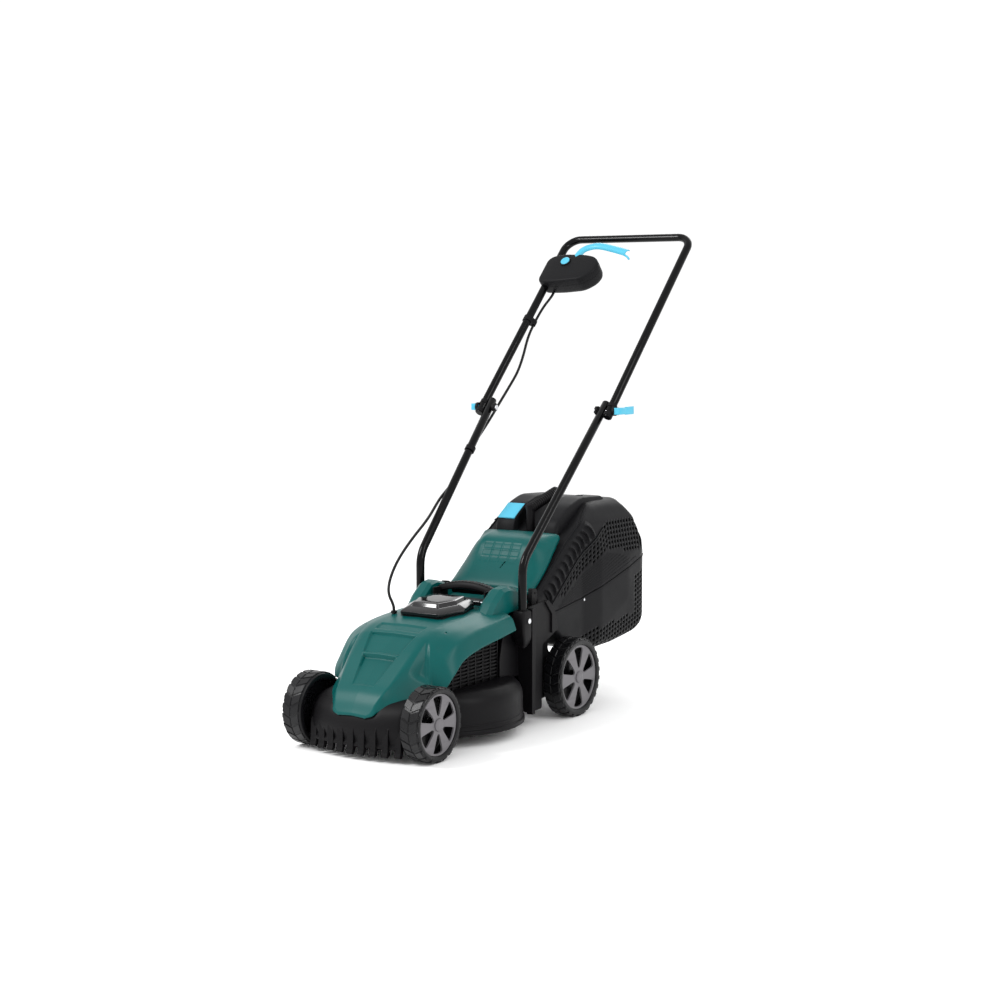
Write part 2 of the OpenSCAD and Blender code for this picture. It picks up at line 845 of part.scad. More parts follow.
module above_seam() {
    side_prism(-box_w, box_w, concat(seam,
        [[box_end + 20, 600], [mouth_y - 120, 600],
        [mouth_y - 120, seam[0][1]]]));
}

module below_seam() {
    side_prism(-box_w, box_w, [[mouth_y - 120, seam[0][1] - 0.4],
        [seam[0][0], seam[0][1] - 0.4], [seam[1][0], seam[1][1] - 0.4],
        [seam[2][0], seam[2][1] - 0.4], [box_end + 20, 0],
        [mouth_y - 120, 0]]);
}

crown_half = 84;
band_w = 56;

crown_inner = 34;

// The raised lid of the box, in two halves with the grip between them
module box_crown() {
    both_sides() side_prism(crown_inner, crown_half,
        [[mouth_y + 76, 384], [mouth_y + 86, 428], [mouth_y + 138, 462],
        [mouth_y + 190, 478], [mouth_y + 290, 474], [mouth_y + 300, 462],
        [mouth_y + 194, 456]]);
}

module box_upper() {
    color("#2d3033") at_origin() difference() {
        union() {
            intersection() {
                box_shell();
                above_seam();
            }
            difference() {
                box_crown();
                both_sides()
                    side_prism(crown_inner + box_wall, crown_half - box_wall,
                    [[mouth_y + 60, 370], [mouth_y + 89, 426],
                    [mouth_y + 139, 459], [mouth_y + 190, 475],
                    [mouth_y + 288, 471], [mouth_y + 290, 440]]);
            }
            intersection() {
                both_sides() for (n = [0, 1])
                    translate([0, n * band_w * 0.52, -n * band_w * 0.85])
                    side_prism(rail_x - 3, rail_x + 2,
                    [[mouth_y - 56, 277], [mouth_y + 75, 383],
                    [mouth_y + 200, 461], [mouth_y + 198, 466],
                    [mouth_y + 72, 390 - n], [mouth_y - 57, 284 - n]]);
                above_seam();
            }
        }
        translate([-window_x, mouth_y + window_dy, window_z])
            rotate([window_tilt, 0, 0])
            cube([window_w, window_l, 20], center = true);
    }
}

window_x = 59;
window_dy = 112;
window_z = 445;
window_tilt = 33;
window_w = 46;
window_l = 56;
window_gap = 0.4;
window_t = 2.4;

module box_window() {
    color("#7fd0ea") at_origin()
        translate([-window_x, mouth_y + window_dy, window_z])
        rotate([window_tilt, 0, 0]) {
            translate([0, -window_t / 4, 0])
                cube([window_w - 2 * window_gap,
                window_l - 2 * window_gap - window_t / 2, window_t],
                center = true);
            translate([0, window_l / 2 - window_gap - window_t / 2, 0])
                rotate([0, 90, 0]) cylinder(d = window_t,
                h = window_w - 2 * window_gap, center = true);
        }
}

module box_lower() {
    color("#2b2d30") at_origin() intersection() {
        box_shell();
        below_seam();
    }
}

module box_grip() {
    color("#1c1d1f") at_origin() {
        translate([0, mouth_y + 102, 400]) cylinder(d = 20, h = 60);
        translate([0, mouth_y + 214, 466]) cylinder(d = 20, h = 30);
        translate([0, mouth_y + 96, 456]) rotate([-72, 0, 0])
            cylinder(d = 24, h = 130);
    }
}

module box_snaps() {
    color("#3a3d40") at_origin() both_sides() {
        translate([box_w / 2 - 6.5, mouth_y + 128, 240]) cube([9, 12, 24]);
        translate([box_w / 2 - 6.5, mouth_y + 250, 284]) cube([9, 12, 24]);
    }
}

// -------------------------------------------------------------- handle
module tube_ring() {
    difference() {
        circle(d = tube_d);
        circle(d = tube_d - 2 * tube_wall);
    }
}

lower_over = 20;
join = 0.5;

module lower_tube() {
    turn = 90 - handle_angle;
    short = bend_r * tan(turn / 2);
    translate([foot_w / 2, foot_y, 0]) {
        difference() {
            translate([0, 0, tube_foot_z])
                linear_extrude(bend_z - short - tube_foot_z + join)
                tube_ring();
            translate([-40, 0, socket_bolt_z]) rotate([0, 90, 0])
                cylinder(d = 6 + 2 * fit_gap, h = 80);
        }
        rotate(-splay) translate([0, bend_r, bend_z - short])
            rotate([90, 0, 90]) rotate(180 - turn)
            rotate_extrude(angle = turn) translate([bend_r, 0]) tube_ring();
        rotate(-splay) translate([0, 0, bend_z])
            rotate([-turn, 0, 0]) translate([0, 0, short - join])
            linear_extrude(lower_l / cos(splay) - short + join + lower_over)
            tube_ring();
    }
}

module fold_axis(x) {
    translate([x, joint_y, joint_z]) rotate([0, 90, 0]) children();
}

bolt_d = 6;

module lower_tube_right() {
    color("#151617") at_origin() mirror([1, 0, 0]) difference() {
        lower_tube();
        fold_axis(0) cylinder(d = bolt_d + 2 * fit_gap, h = track_w);
    }
}

module lower_tube_left() {
    color("#151617") at_origin() difference() {
        lower_tube();
        fold_axis(0) cylinder(d = bolt_d + 2 * fit_gap, h = track_w);
    }
}

corner_r = 38;
upper_under = 20;

// Moves to the plane of the upper frame: X across, Y up the slope
module frame_plane() {
    translate([0, joint_y, joint_z]) rotate([handle_angle, 0, 0])
        children();
}

module upper_frame() {
    half = upper_w / 2;
    color("#151617") at_origin() difference() {
        frame_plane() {
            both_sides() {
                translate([half, -upper_under, 0]) rotate([-90, 0, 0])
                    linear_extrude(upper_l - corner_r + upper_under)
                    tube_ring();
                translate([half - corner_r, upper_l - corner_r, 0])
                    rotate_extrude(angle = 90) translate([corner_r, 0])
                    tube_ring();
            }
            translate([-half + corner_r, upper_l, 0]) rotate([0, 90, 0])
                linear_extrude(2 * (half - corner_r)) tube_ring();
        }
        fold_axis(-track_w) cylinder(d = bolt_d + 2 * fit_gap,
            h = 2 * track_w);
    }
}

tube_out_x = upper_w / 2 + tube_d / 2;
bush_l = 6;
bush_d = 20;
bush_x = joint_x - tube_d / 2 - bush_l - bush_d / 2 * tan(splay);
cam_x = tube_out_x + 11;
cam_pin_d = 4;

module fold_bolts() {
    color("#c8ccd0") at_origin() both_sides()
        difference() {
            fold_axis(bush_x) {
                translate([0, 0, -4]) cylinder(d = 12, h = 4);
                translate([0, 0, -1])
                    cylinder(d = bolt_d, h = cam_x + 4 - bush_x);
            }
            translate([cam_x, joint_y, joint_z - 20])
                cylinder(d = cam_pin_d + 2 * fit_gap, h = 40);
        }
}

module fold_bushes() {
    color("#1f2022") at_origin() both_sides()
        fold_axis(bush_x + fit_gap) difference() {
            cylinder(d = bush_d, h = bush_l - 2 * fit_gap);
            translate([0, 0, -1]) cylinder(d = bolt_d + 2 * fit_gap, h = 12);
        }
}

module cam_lever() {
    difference() {
        union() {
            translate([cam_x, joint_y, joint_z - 9]) cylinder(d = 20, h = 18);
            hull() {
                translate([cam_x, joint_y, joint_z - 8])
                    cylinder(d = 16, h = 16, $fn = soft_fn);
                translate([cam_x + 3, joint_y + 34, joint_z - 8])
                    cylinder(d = 8, h = 16, $fn = soft_fn);
            }
            hull() {
                translate([cam_x + 3, joint_y + 34, joint_z - 8])
                    cylinder(d = 8, h = 16, $fn = soft_fn);
                translate([cam_x - 1, joint_y + 66, joint_z - 7])
                    cylinder(d = 6, h = 14, $fn = soft_fn);
            }
        }
        translate([cam_x, joint_y, joint_z - 40])
            cylinder(d = cam_pin_d + 2 * fit_gap, h = 80);
        translate([cam_x - 14, joint_y - 14, joint_z - 3.6])
            cube([22, 28, 7.2]);
    }
}

module cam_lever_right() {
    color("#5cc4e8") at_origin() mirror([1, 0, 0]) cam_lever();
}

module cam_lever_left() {
    color("#5cc4e8") at_origin() cam_lever();
}

module cam_pins() {
    color("#b8bcc0") at_origin() both_sides() {
        translate([cam_x, joint_y, joint_z - 9])
            cylinder(d = cam_pin_d, h = 18);
    }
}

// -------------------------------------------------- switch box and bail
// Right-hand leg seen from behind is -X; the switch box sits on that leg
case_s = 442;
case_split = 4;
case_plan = [[-upper_w / 2 - 14, case_s - 48],
    [-upper_w / 2 + 46, case_s - 48], [-66, case_s - 38], [-44, case_s - 16],
    [-40, case_s + 8], [-56, case_s + 34], [-84, case_s + 42],
    [-upper_w / 2 - 4, case_s + 44], [-upper_w / 2 - 14, case_s + 34]];

module case_half(low, high) {
    difference() {
        translate([0, 0, low]) linear_extrude(high - low)
            polygon(case_plan);
        translate([0, 0, low + (low < 0 ? 2.6 : -1)])
            linear_extrude(high - low - 1.6) offset(delta = -2.6)
            polygon(case_plan);
        translate([-upper_w / 2, 0, 0]) rotate([-90, 0, 0])
            cylinder(d = tube_d + 2 * clear, h = upper_l);
    }
}

module switch_case_upper() {
    color("#3a3d40") at_origin() frame_plane() difference() {
        case_half(case_split, 24);
        translate([button_x, button_s, 0]) cylinder(d = 15, h = 40);
        translate([bail_x0 - 1, bail_s - 5, 0]) cube([20, 60, 40]);
    }
    color("#3a3d40") at_origin() frame_plane() difference() {
        for (x = [bail_x0 - 5, bail_x0 + 19.6])
            translate([x, bail_s - 8, bail_pivot_n - 7]) cube([3.4, 12, 15]);
        translate([bail_x0 - 20, bail_s, bail_pivot_n]) rotate([0, 90, 0])
            cylinder(d = bail_pin_d + 2 * fit_gap, h = 60);
    }
}

module switch_case_lower() {
    color("#303336") at_origin() frame_plane()
        case_half(-26, case_split - 0.3);
}

button_x = -131;
button_s = case_s + 18;

module safety_button() {
    color("#5cc4e8") at_origin() frame_plane()
        translate([button_x, button_s, 12]) {
            cylinder(d = 14, h = 15);
            cylinder(d = 18, h = 3);
        }
}

bail_x0 = -116;
bail_x1 = 34;
bail_s = case_s + 26;
bail_pivot_n = 14;
bail_pin_d = 4;

module bail_lever() {
    color("#5cc4e8") at_origin() frame_plane() difference() {
        union() {
            translate([bail_x0, bail_s, bail_pivot_n]) rotate([0, 90, 0])
                cylinder(d = 14, h = 18);
            translate([bail_x0, bail_s - 2, bail_pivot_n])
                cube([18, 60, 9]);
            translate([bail_x0, bail_s + 34, bail_pivot_n + 1])
                cube([bail_x1 - bail_x0, 24, 8]);
            translate([bail_x1 - 12, bail_s + 22, bail_pivot_n + 1])
                cube([12, 30, 8]);
        }
        translate([bail_x0 - 5, bail_s, bail_pivot_n]) rotate([0, 90, 0])
            cylinder(d = bail_pin_d + 2 * fit_gap, h = 40);
    }
}

module bail_pin() {
    color("#b8bcc0") at_origin() frame_plane()
        translate([bail_x0 - 4.6, bail_s, bail_pivot_n]) rotate([0, 90, 0])
        cylinder(d = bail_pin_d, h = 27);
}

// --------------------------------------------------------------- cable
cable_d = 6.4;
ring_sides = 8;

function bezier(a, b, c, t) = (1 - t) * (1 - t) * a
    + 2 * t * (1 - t) * b + t * t * c;

// A smooth path through the middles of the legs of a route
function smooth(route, steps) = concat([route[0]],
    [for (i = [1:len(route) - 2], k = [0:steps])
        bezier((route[i - 1] + route[i]) / 2, route[i],
            (route[i] + route[i + 1]) / 2, k / (steps + 1))],
    [route[len(route) - 1]]);

function unit(v) = v / norm(v);

function tangent(p, i) = unit(p[min(i + 1, len(p) - 1)]
    - p[max(i - 1, 0)]);

module cable_along(route, side_hint) {
    path = smooth(route, 3);
    loft([for (i = [0:len(path) - 1])
        let (t = tangent(path, i), u = unit(cross(t, side_hint)),
            v = cross(t, u))
        [for (j = [0:ring_sides - 1])
            let (a = j * 360 / ring_sides)
            path[i] + cable_d / 2 * (cos(a) * u - sin(a) * v)]]);
}

function on_frame(p) = [p[0],
    joint_y + p[1] * cos(handle_angle) - p[2] * sin(handle_angle),
    joint_z + p[1] * sin(handle_angle) + p[2] * cos(handle_angle)];

// Points beside the handle: across, up the slope from the fold, off it
cable_start_s = case_s - 48;
upper_points = [[-152, cable_start_s, -14], [-152, 376, -14],
    [-161, 340, -14], [-162, 285, -13], [-162, 240, -16],
    [-161, 195, -31], [-160, 150, -39], [-160, 110, -37],
    [-160, 60, -33]];
fold_points = [[-160, 60, -33], [-160, 20, -29.8], [-160, -20, -27],
    [-160, -60, -22]];
clip_points = [[-160, -60 - fit_gap, -22 + fit_gap / 8], [-160, -88, -18.5], [-160, -110, -12],
    [-158, -150, -10]];
// Points of the free loop between the lower tube and the hood
loop_points = [[-156, 538, 530], [-157, 505, 501], [-157, 478, 485],
    [-152, 452, 471], [-140, 400, 440], [-126, 316, 402],
    [-112, 245, 364], [-100, 200, 328], [-92, 184, 300],
    [-gland_x, gland_y, 276], [-gland_x, gland_y, 258], [-gland_x, gland_y, 240]];

module cable_upper() {
    color("#1a1b1c") at_origin()
        cable_along([for (p = upper_points) on_frame(p)], [1, 0, 0.02]);
}

module cable_fold() {
    color("#1a1b1c") at_origin()
        cable_along([for (p = fold_points) on_frame(p)], [1, 0, 0.02]);
}

module cable_lower() {
    color("#1a1b1c") at_origin()
        cable_along(concat([for (p = clip_points) on_frame(p)],
            loop_points), [1, 0, 0.02]);
}

clip_t = 2.4;

// A saddle clip that snaps on a tube and holds the cable beside it
module saddle(tube_at, cable_at, len) {
    rotate([-90, 0, 0]) linear_extrude(len) difference() {
        hull() {
            translate(tube_at) circle(d = tube_d + 2 * clip_t);
            translate(cable_at) circle(d = cable_d + 2 * clip_t);
        }
        translate(tube_at) circle(d = tube_d + 2 * clear);
        translate(cable_at) circle(d = cable_d + 2 * clear);
    }
}

upper_clip_s = 278;
upper_clip_l = 14;
lower_clip_s = -136;
lower_clip_l = 12;

module cable_clip_upper() {
    color("#1d1e20") at_origin() frame_plane()
        translate([0, upper_clip_s, 0])
        saddle([-upper_w / 2, 0], [-162, 13.2], upper_clip_l);
}

module cable_clip_lower() {
    middle = lower_clip_s + lower_clip_l / 2;
    color("#1d1e20") at_origin() frame_plane()
        translate([0, lower_clip_s, 0])
        saddle([-joint_x - middle * cos(handle_angle) * tan(splay), 0],
            [-159, 11.2], lower_clip_l);
}

module cable_gland() {
    color("#1d1e20") at_origin() translate([-gland_x, gland_y, 246])
        difference() {
        union() {
            cylinder(d = gland_d, h = 16);
            translate([0, 0, 13.4]) cylinder(d = 14, h = 5);
        }
        translate([0, 0, -1]) cylinder(d = cable_d + 2 * fit_gap, h = 30);
    }
}

deck();
hood();
side_vent_right();
side_vent_left();
motor_case();
control_unit();
battery_tray();
battery_pack();
battery_lid();
lid_pin();
carry_handle();
handle_socket_right();
handle_socket_left();
socket_bolts();
front_axle();
rear_axle();
axle_clips();
front_tyre_right();
front_hub_right();
front_cap_right();
front_tyre_left();
front_hub_left();
front_cap_left();
rear_tyre_right();
rear_hub_right();
rear_cap_right();
rear_tyre_left();
rear_hub_left();
rear_cap_left();
motor_spindle();
blade_fan();
blade();
blade_bolt();
rear_flap();
flap_pin();
box_upper();
box_lower();
box_grip();
box_window();
box_snaps();
lower_tube_right();
lower_tube_left();
upper_frame();
fold_bolts();
fold_bushes();
cam_lever_right();
cam_lever_left();
cam_pins();
switch_case_upper();
switch_case_lower();
safety_button();
bail_lever();
bail_pin();
cable_upper();
cable_fold();
cable_lower();
cable_clip_upper();
cable_clip_lower();
cable_gland();
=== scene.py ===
import json
import math

import bmesh
import bpy
from bpy.props import FloatProperty, FloatVectorProperty, IntProperty
from bpy.props import PointerProperty
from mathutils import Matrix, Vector, geometry


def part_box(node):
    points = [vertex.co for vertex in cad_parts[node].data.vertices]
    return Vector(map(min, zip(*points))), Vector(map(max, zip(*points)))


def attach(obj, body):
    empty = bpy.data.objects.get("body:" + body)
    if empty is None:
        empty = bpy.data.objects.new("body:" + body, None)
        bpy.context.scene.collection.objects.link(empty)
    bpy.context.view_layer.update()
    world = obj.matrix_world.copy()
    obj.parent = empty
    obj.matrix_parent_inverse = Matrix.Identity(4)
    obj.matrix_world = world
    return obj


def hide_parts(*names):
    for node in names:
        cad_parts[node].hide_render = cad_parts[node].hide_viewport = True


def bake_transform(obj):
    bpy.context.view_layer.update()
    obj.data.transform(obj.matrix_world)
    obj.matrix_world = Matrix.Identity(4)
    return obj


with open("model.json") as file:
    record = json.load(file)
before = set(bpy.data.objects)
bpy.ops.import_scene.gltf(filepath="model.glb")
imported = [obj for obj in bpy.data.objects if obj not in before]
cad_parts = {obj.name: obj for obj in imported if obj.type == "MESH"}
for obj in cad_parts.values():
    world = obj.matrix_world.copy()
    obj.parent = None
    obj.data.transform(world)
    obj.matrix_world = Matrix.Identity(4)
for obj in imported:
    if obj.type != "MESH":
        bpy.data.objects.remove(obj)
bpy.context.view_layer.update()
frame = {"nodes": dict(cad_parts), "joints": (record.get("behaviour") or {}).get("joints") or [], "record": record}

bl_info = {
    "name": "Lawn Mower Looks",
    "version": (1, 0, 0),
    "blender": (4, 5, 0),
    "location": "3D View > Sidebar > Mower",
    "description": "Builds the visible pieces and finishes of a cordless lawn mower",
    "category": "Object",
}

MM = 0.001
JOINTS = {joint["name"]: joint for joint in frame["joints"]}
AXLE_Y = JOINTS["front_left_spin"]["pos_m"][1]


def linear(code):
    """Linear RGB and alpha from an sRGB hex colour."""
    parts = [int(code[i:i + 2], 16) / 255 for i in (1, 3, 5)]
    return tuple(c / 12.92 if c < 0.04045 else ((c + 0.055) / 1.055) ** 2.4
                 for c in parts) + (1.0,)


def colour(name, code, about):
    """A colour property with its default given as sRGB hex."""
    return FloatVectorProperty(
        name=name, description=about, subtype="COLOR", size=4,
        min=0.0, max=1.0, default=linear(code))


class MowerSizes(bpy.types.PropertyGroup):
    tread_blocks: IntProperty(
        name="Tread blocks", description="Blocks round each tyre, in each row",
        default=22, min=12, max=60)
    tread_height: FloatProperty(
        name="Tread height", description="How far a tread block stands out",
        default=1.7 * MM, min=0.0, max=5 * MM, unit="LENGTH")
    recess_depth: FloatProperty(
        name="Recess depth", description="Depth of the panels in the hood",
        default=6.5 * MM, min=0.0, max=8 * MM, unit="LENGTH")


class MowerColours(bpy.types.PropertyGroup):
    hood: colour("Hood", "#004a48", "Teal moulded ABS of hood and flap")
    deck: colour("Deck", "#0b0a0c", "Black moulded polypropylene of the deck")
    grass_box: colour("Grass box", "#0f0f11", "Dark grey polypropylene shells")
    accent: colour("Accent", "#4aa9c4", "Light blue moulded ABS")
    trim: colour("Wheel trim", "#605e61", "Grey moulded ABS of the wheel trims")
    tube: colour("Tube", "#050506", "Black powder coat of the handle")
    floor: colour("Floor", "#fdfdfd", "Pale studio floor")


# ------------------------------------------------------------- materials

def add_node(tree, kind, settings=None, links=None):
    """Adds one node, sets its sockets or attributes, and links its inputs."""
    made = tree.nodes.new(kind)
    for key, value in (settings or {}).items():
        if isinstance(key, int) or key in made.inputs:
            made.inputs[key].default_value = value
        else:
            setattr(made, key, value)
    for key, (source, output) in (links or {}).items():
        tree.links.new(source.outputs[output], made.inputs[key])
    return made


def surface(name, base, roughness, spread, grain, height, **shader):
    """A procedural finish: mottled colour, uneven gloss and a fine relief.

    grain is the spacing of the relief and height its depth, in metres;
    spread is how much colour and roughness wander across the piece.
    """
    made = bpy.data.materials.new(name)
    made.use_nodes = True
    tree = made.node_tree
    tree.nodes.clear()
    place = add_node(tree, "ShaderNodeTexCoord")
    cloud = add_node(tree, "ShaderNodeTexNoise",
                     {"Scale": 9.0, "Detail": 5.0, "Roughness": 0.6},
                     {"Vector": (place, "Object")})
    tint = add_node(tree, "ShaderNodeValToRGB", {}, {"Fac": (cloud, "Fac")})
    low, high = tint.color_ramp.elements
    low.position, high.position = 0.3, 0.7
    low.color = [c * (1 - spread) for c in base[:3]] + [1.0]
    high.color = [min(1.0, c * (1 + spread)) for c in base[:3]] + [1.0]
    gloss = add_node(tree, "ShaderNodeMapRange",
                     {"From Min": 0.3, "From Max": 0.7,
                      "To Min": roughness * (1 - spread),
                      "To Max": min(1.0, roughness * (1 + spread))},
                     {"Value": (cloud, "Fac")})
    relief = add_node(tree, "ShaderNodeTexNoise",
                      {"Scale": 1.0 / grain, "Detail": 2.0, "Roughness": 0.5},
                      {"Vector": (place, "Object")})
    bump = add_node(tree, "ShaderNodeBump",
                    {"Strength": 0.6, "Distance": height},
                    {"Height": (relief, "Fac")})
    settings = {"Metallic": 0.0}
    settings.update(shader)
    body = add_node(tree, "ShaderNodeBsdfPrincipled", settings,
                    {"Base Color": (tint, "Color"),
                     "Roughness": (gloss, "Result"),
                     "Normal": (bump, "Normal")})
    add_node(tree, "ShaderNodeOutputMaterial", {}, {"Surface": (body, "BSDF")})
    return made


# Grain on a moulding is 0.1 to 0.3 mm across in life. It is drawn about
# 1.5 mm across here, because finer grain would not show at this distance.
GRAIN = 1.5 * MM


def abs_satin_moulded(base):
    """Teal ABS from a polished tool: satin, with a broad soft highlight."""
    return surface("abs_satin_moulded", base, 0.36, 0.06, GRAIN, 0.05 * MM,
                   IOR=1.5, **{"Specular IOR Level": 0.16})


def polypropylene_grained(base):
    """Black polypropylene from a spark-eroded tool: dull, fine leather grain."""
    return surface("polypropylene_grained", base, 0.46, 0.12, GRAIN,
                   0.12 * MM, IOR=1.46, **{"Specular IOR Level": 0.13})


def polypropylene_box(base):
    """Grey-black polypropylene of the box shells: dull, slightly chalky."""
    return surface("polypropylene_box", base, 0.5, 0.14, GRAIN,
                   0.12 * MM, IOR=1.46, **{"Specular IOR Level": 0.13})


def abs_polished():
    """Black ABS from a mirror-polished tool: deep, with a clear reflection."""
    return surface("abs_polished", linear("#0a090c"), 0.12, 0.1, 6 * MM,
                   0.02 * MM, IOR=1.54, **{"Specular IOR Level": 0.42})


def abs_accent_moulded(base):
    """Light blue ABS: even colour and a satin shine."""
    return surface("abs_accent_moulded", base, 0.34, 0.05, GRAIN,
                   0.04 * MM, IOR=1.5, **{"Specular IOR Level": 0.3})


def abs_trim_moulded(base):
    """Grey ABS of the wheel trims: satin, with a faint pearly unevenness."""
    return surface("abs_trim_moulded", base, 0.38, 0.07, GRAIN,
                   0.06 * MM, IOR=1.5, **{"Specular IOR Level": 0.3})


def pvc_tyre_moulded():
    """Hard black PVC tread: slick on top, with scuffed dull patches."""
    return surface("pvc_tyre_moulded", linear("#0c0c0e"), 0.3, 0.3,
                   3 * MM, 0.2 * MM, IOR=1.52, **{"Specular IOR Level": 0.2})


def steel_powder_coated(base):
    """Gloss black powder coat on steel tube: smooth with orange peel."""
    return surface("steel_powder_coated", base, 0.16, 0.15, 4 * MM,
                   0.03 * MM, IOR=1.52, **{"Specular IOR Level": 0.13})


def steel_zinc_plated():
    """Zinc-plated steel: bright grey with a cloudy crystal bloom."""
    return surface("steel_zinc_plated", linear("#a9adb2"), 0.34, 0.15,
                   2 * MM, 0.03 * MM, Metallic=1.0)


def steel_nickel_plated():
    """Nickel-plated bolt heads: nearly a mirror."""
    return surface("steel_nickel_plated", linear("#d8d9dc"), 0.14, 0.1,
                   2 * MM, 0.02 * MM, Metallic=1.0)


def steel_ground():
    """Ground spring steel of the blade: metallic with fine scratches."""
    return surface("steel_ground", linear("#84888d"), 0.36, 0.2,
                   0.8 * MM, 0.05 * MM, Metallic=1.0)


def steel_enamelled():
    """Dark baked enamel on the motor can: low sheen and slight dimples."""
    return surface("steel_enamelled", linear("#34373a"), 0.4, 0.15,
                   3 * MM, 0.05 * MM, IOR=1.5)


def pvc_cable_extruded():
    """Black PVC sheath: soft sheen, drawn marks along its length."""
    return surface("pvc_cable_extruded", linear("#0b0b0c"), 0.36, 0.15,
                   2 * MM, 0.04 * MM, IOR=1.52, **{"Specular IOR Level": 0.18})


FINISHES = {}


def finish_of(name):
    """A finish by name, made once and shared by the pieces that have it."""
    if name not in FINISHES:
        tints = bpy.context.scene.mower_colours
        makers = {
            "teal": lambda: abs_satin_moulded(tints.hood),
            "deck": lambda: polypropylene_grained(tints.deck),
            "box": lambda: polypropylene_box(tints.grass_box),
            "polished": abs_polished,
            "accent": lambda: abs_accent_moulded(tints.accent),
            "trim": lambda: abs_trim_moulded(tints.trim),
            "tyre": pvc_tyre_moulded,
            "tube": lambda: steel_powder_coated(tints.tube),
            "zinc": steel_zinc_plated,
            "nickel": steel_nickel_plated,
            "ground": steel_ground,
            "enamel": steel_enamelled,
            "cable": pvc_cable_extruded,
        }
        FINISHES[name] = makers[name]()
    return FINISHES[name]


# ---------------------------------------------------------------- shapes

def mix(a, b, t):
    """The value a share t of the way from a to b."""
    return a + (b - a) * t


def curve(a, b, c, t):
    """A point on the curve that leaves a towards b and arrives at c."""
    return a * (1 - t) ** 2 + b * 2 * t * (1 - t) + c * t * t


def step(low, high, value):
    """0 below low, 1 above high, and a smooth rise between them."""
    t = min(1.0, max(0.0, (value - low) / (high - low)))
    return t * t * (3 - 2 * t)


def along(points, t):
    """The values at t on straight legs through (key, value, ...) rows."""
    if t <= points[0][0]:
        return points[0][1:]
    for a, b in zip(points, points[1:]):
        if t <= b[0]:
            s = (t - a[0]) / (b[0] - a[0])
            return tuple(mix(p, q, s) for p, q in zip(a[1:], b[1:]))
    return points[-1][1:]


def rounded(points, radius, steps=5, closed=True):
    """A flat outline with each corner replaced by a short curve."""
    made = []
    count = len(points)
    for i, here in enumerate(points):
        if not closed and i in (0, count - 1):
            made.append(tuple(here))
            continue
        here = Vector(here)
        before = Vector(points[i - 1]) - here
        after = Vector(points[(i + 1) % count]) - here
        reach = min(radius, before.length * 0.45, after.length * 0.45)
        a = here + before.normalized() * reach
        b = here + after.normalized() * reach
        for k in range(steps + 1):
            t = k / steps
            made.append(tuple(curve(a, here, b, t)))
    return made


def smooth_path(points, steps=6):
    """A curve through points, as many steps to each leg."""
    made = []
    last = len(points) - 1
    for i in range(last):
        p0, p1 = Vector(points[max(i - 1, 0)]), Vector(points[i])
        p2, p3 = Vector(points[i + 1]), Vector(points[min(i + 2, last)])
        for k in range(steps):
            t = k / steps
            made.append(0.5 * (2 * p1 + (p2 - p0) * t
                               + (2 * p0 - 5 * p1 + 4 * p2 - p3) * t * t
                               + (3 * p1 - p0 - 3 * p2 + p3) * t ** 3))
    made.append(Vector(points[-1]))
    return made


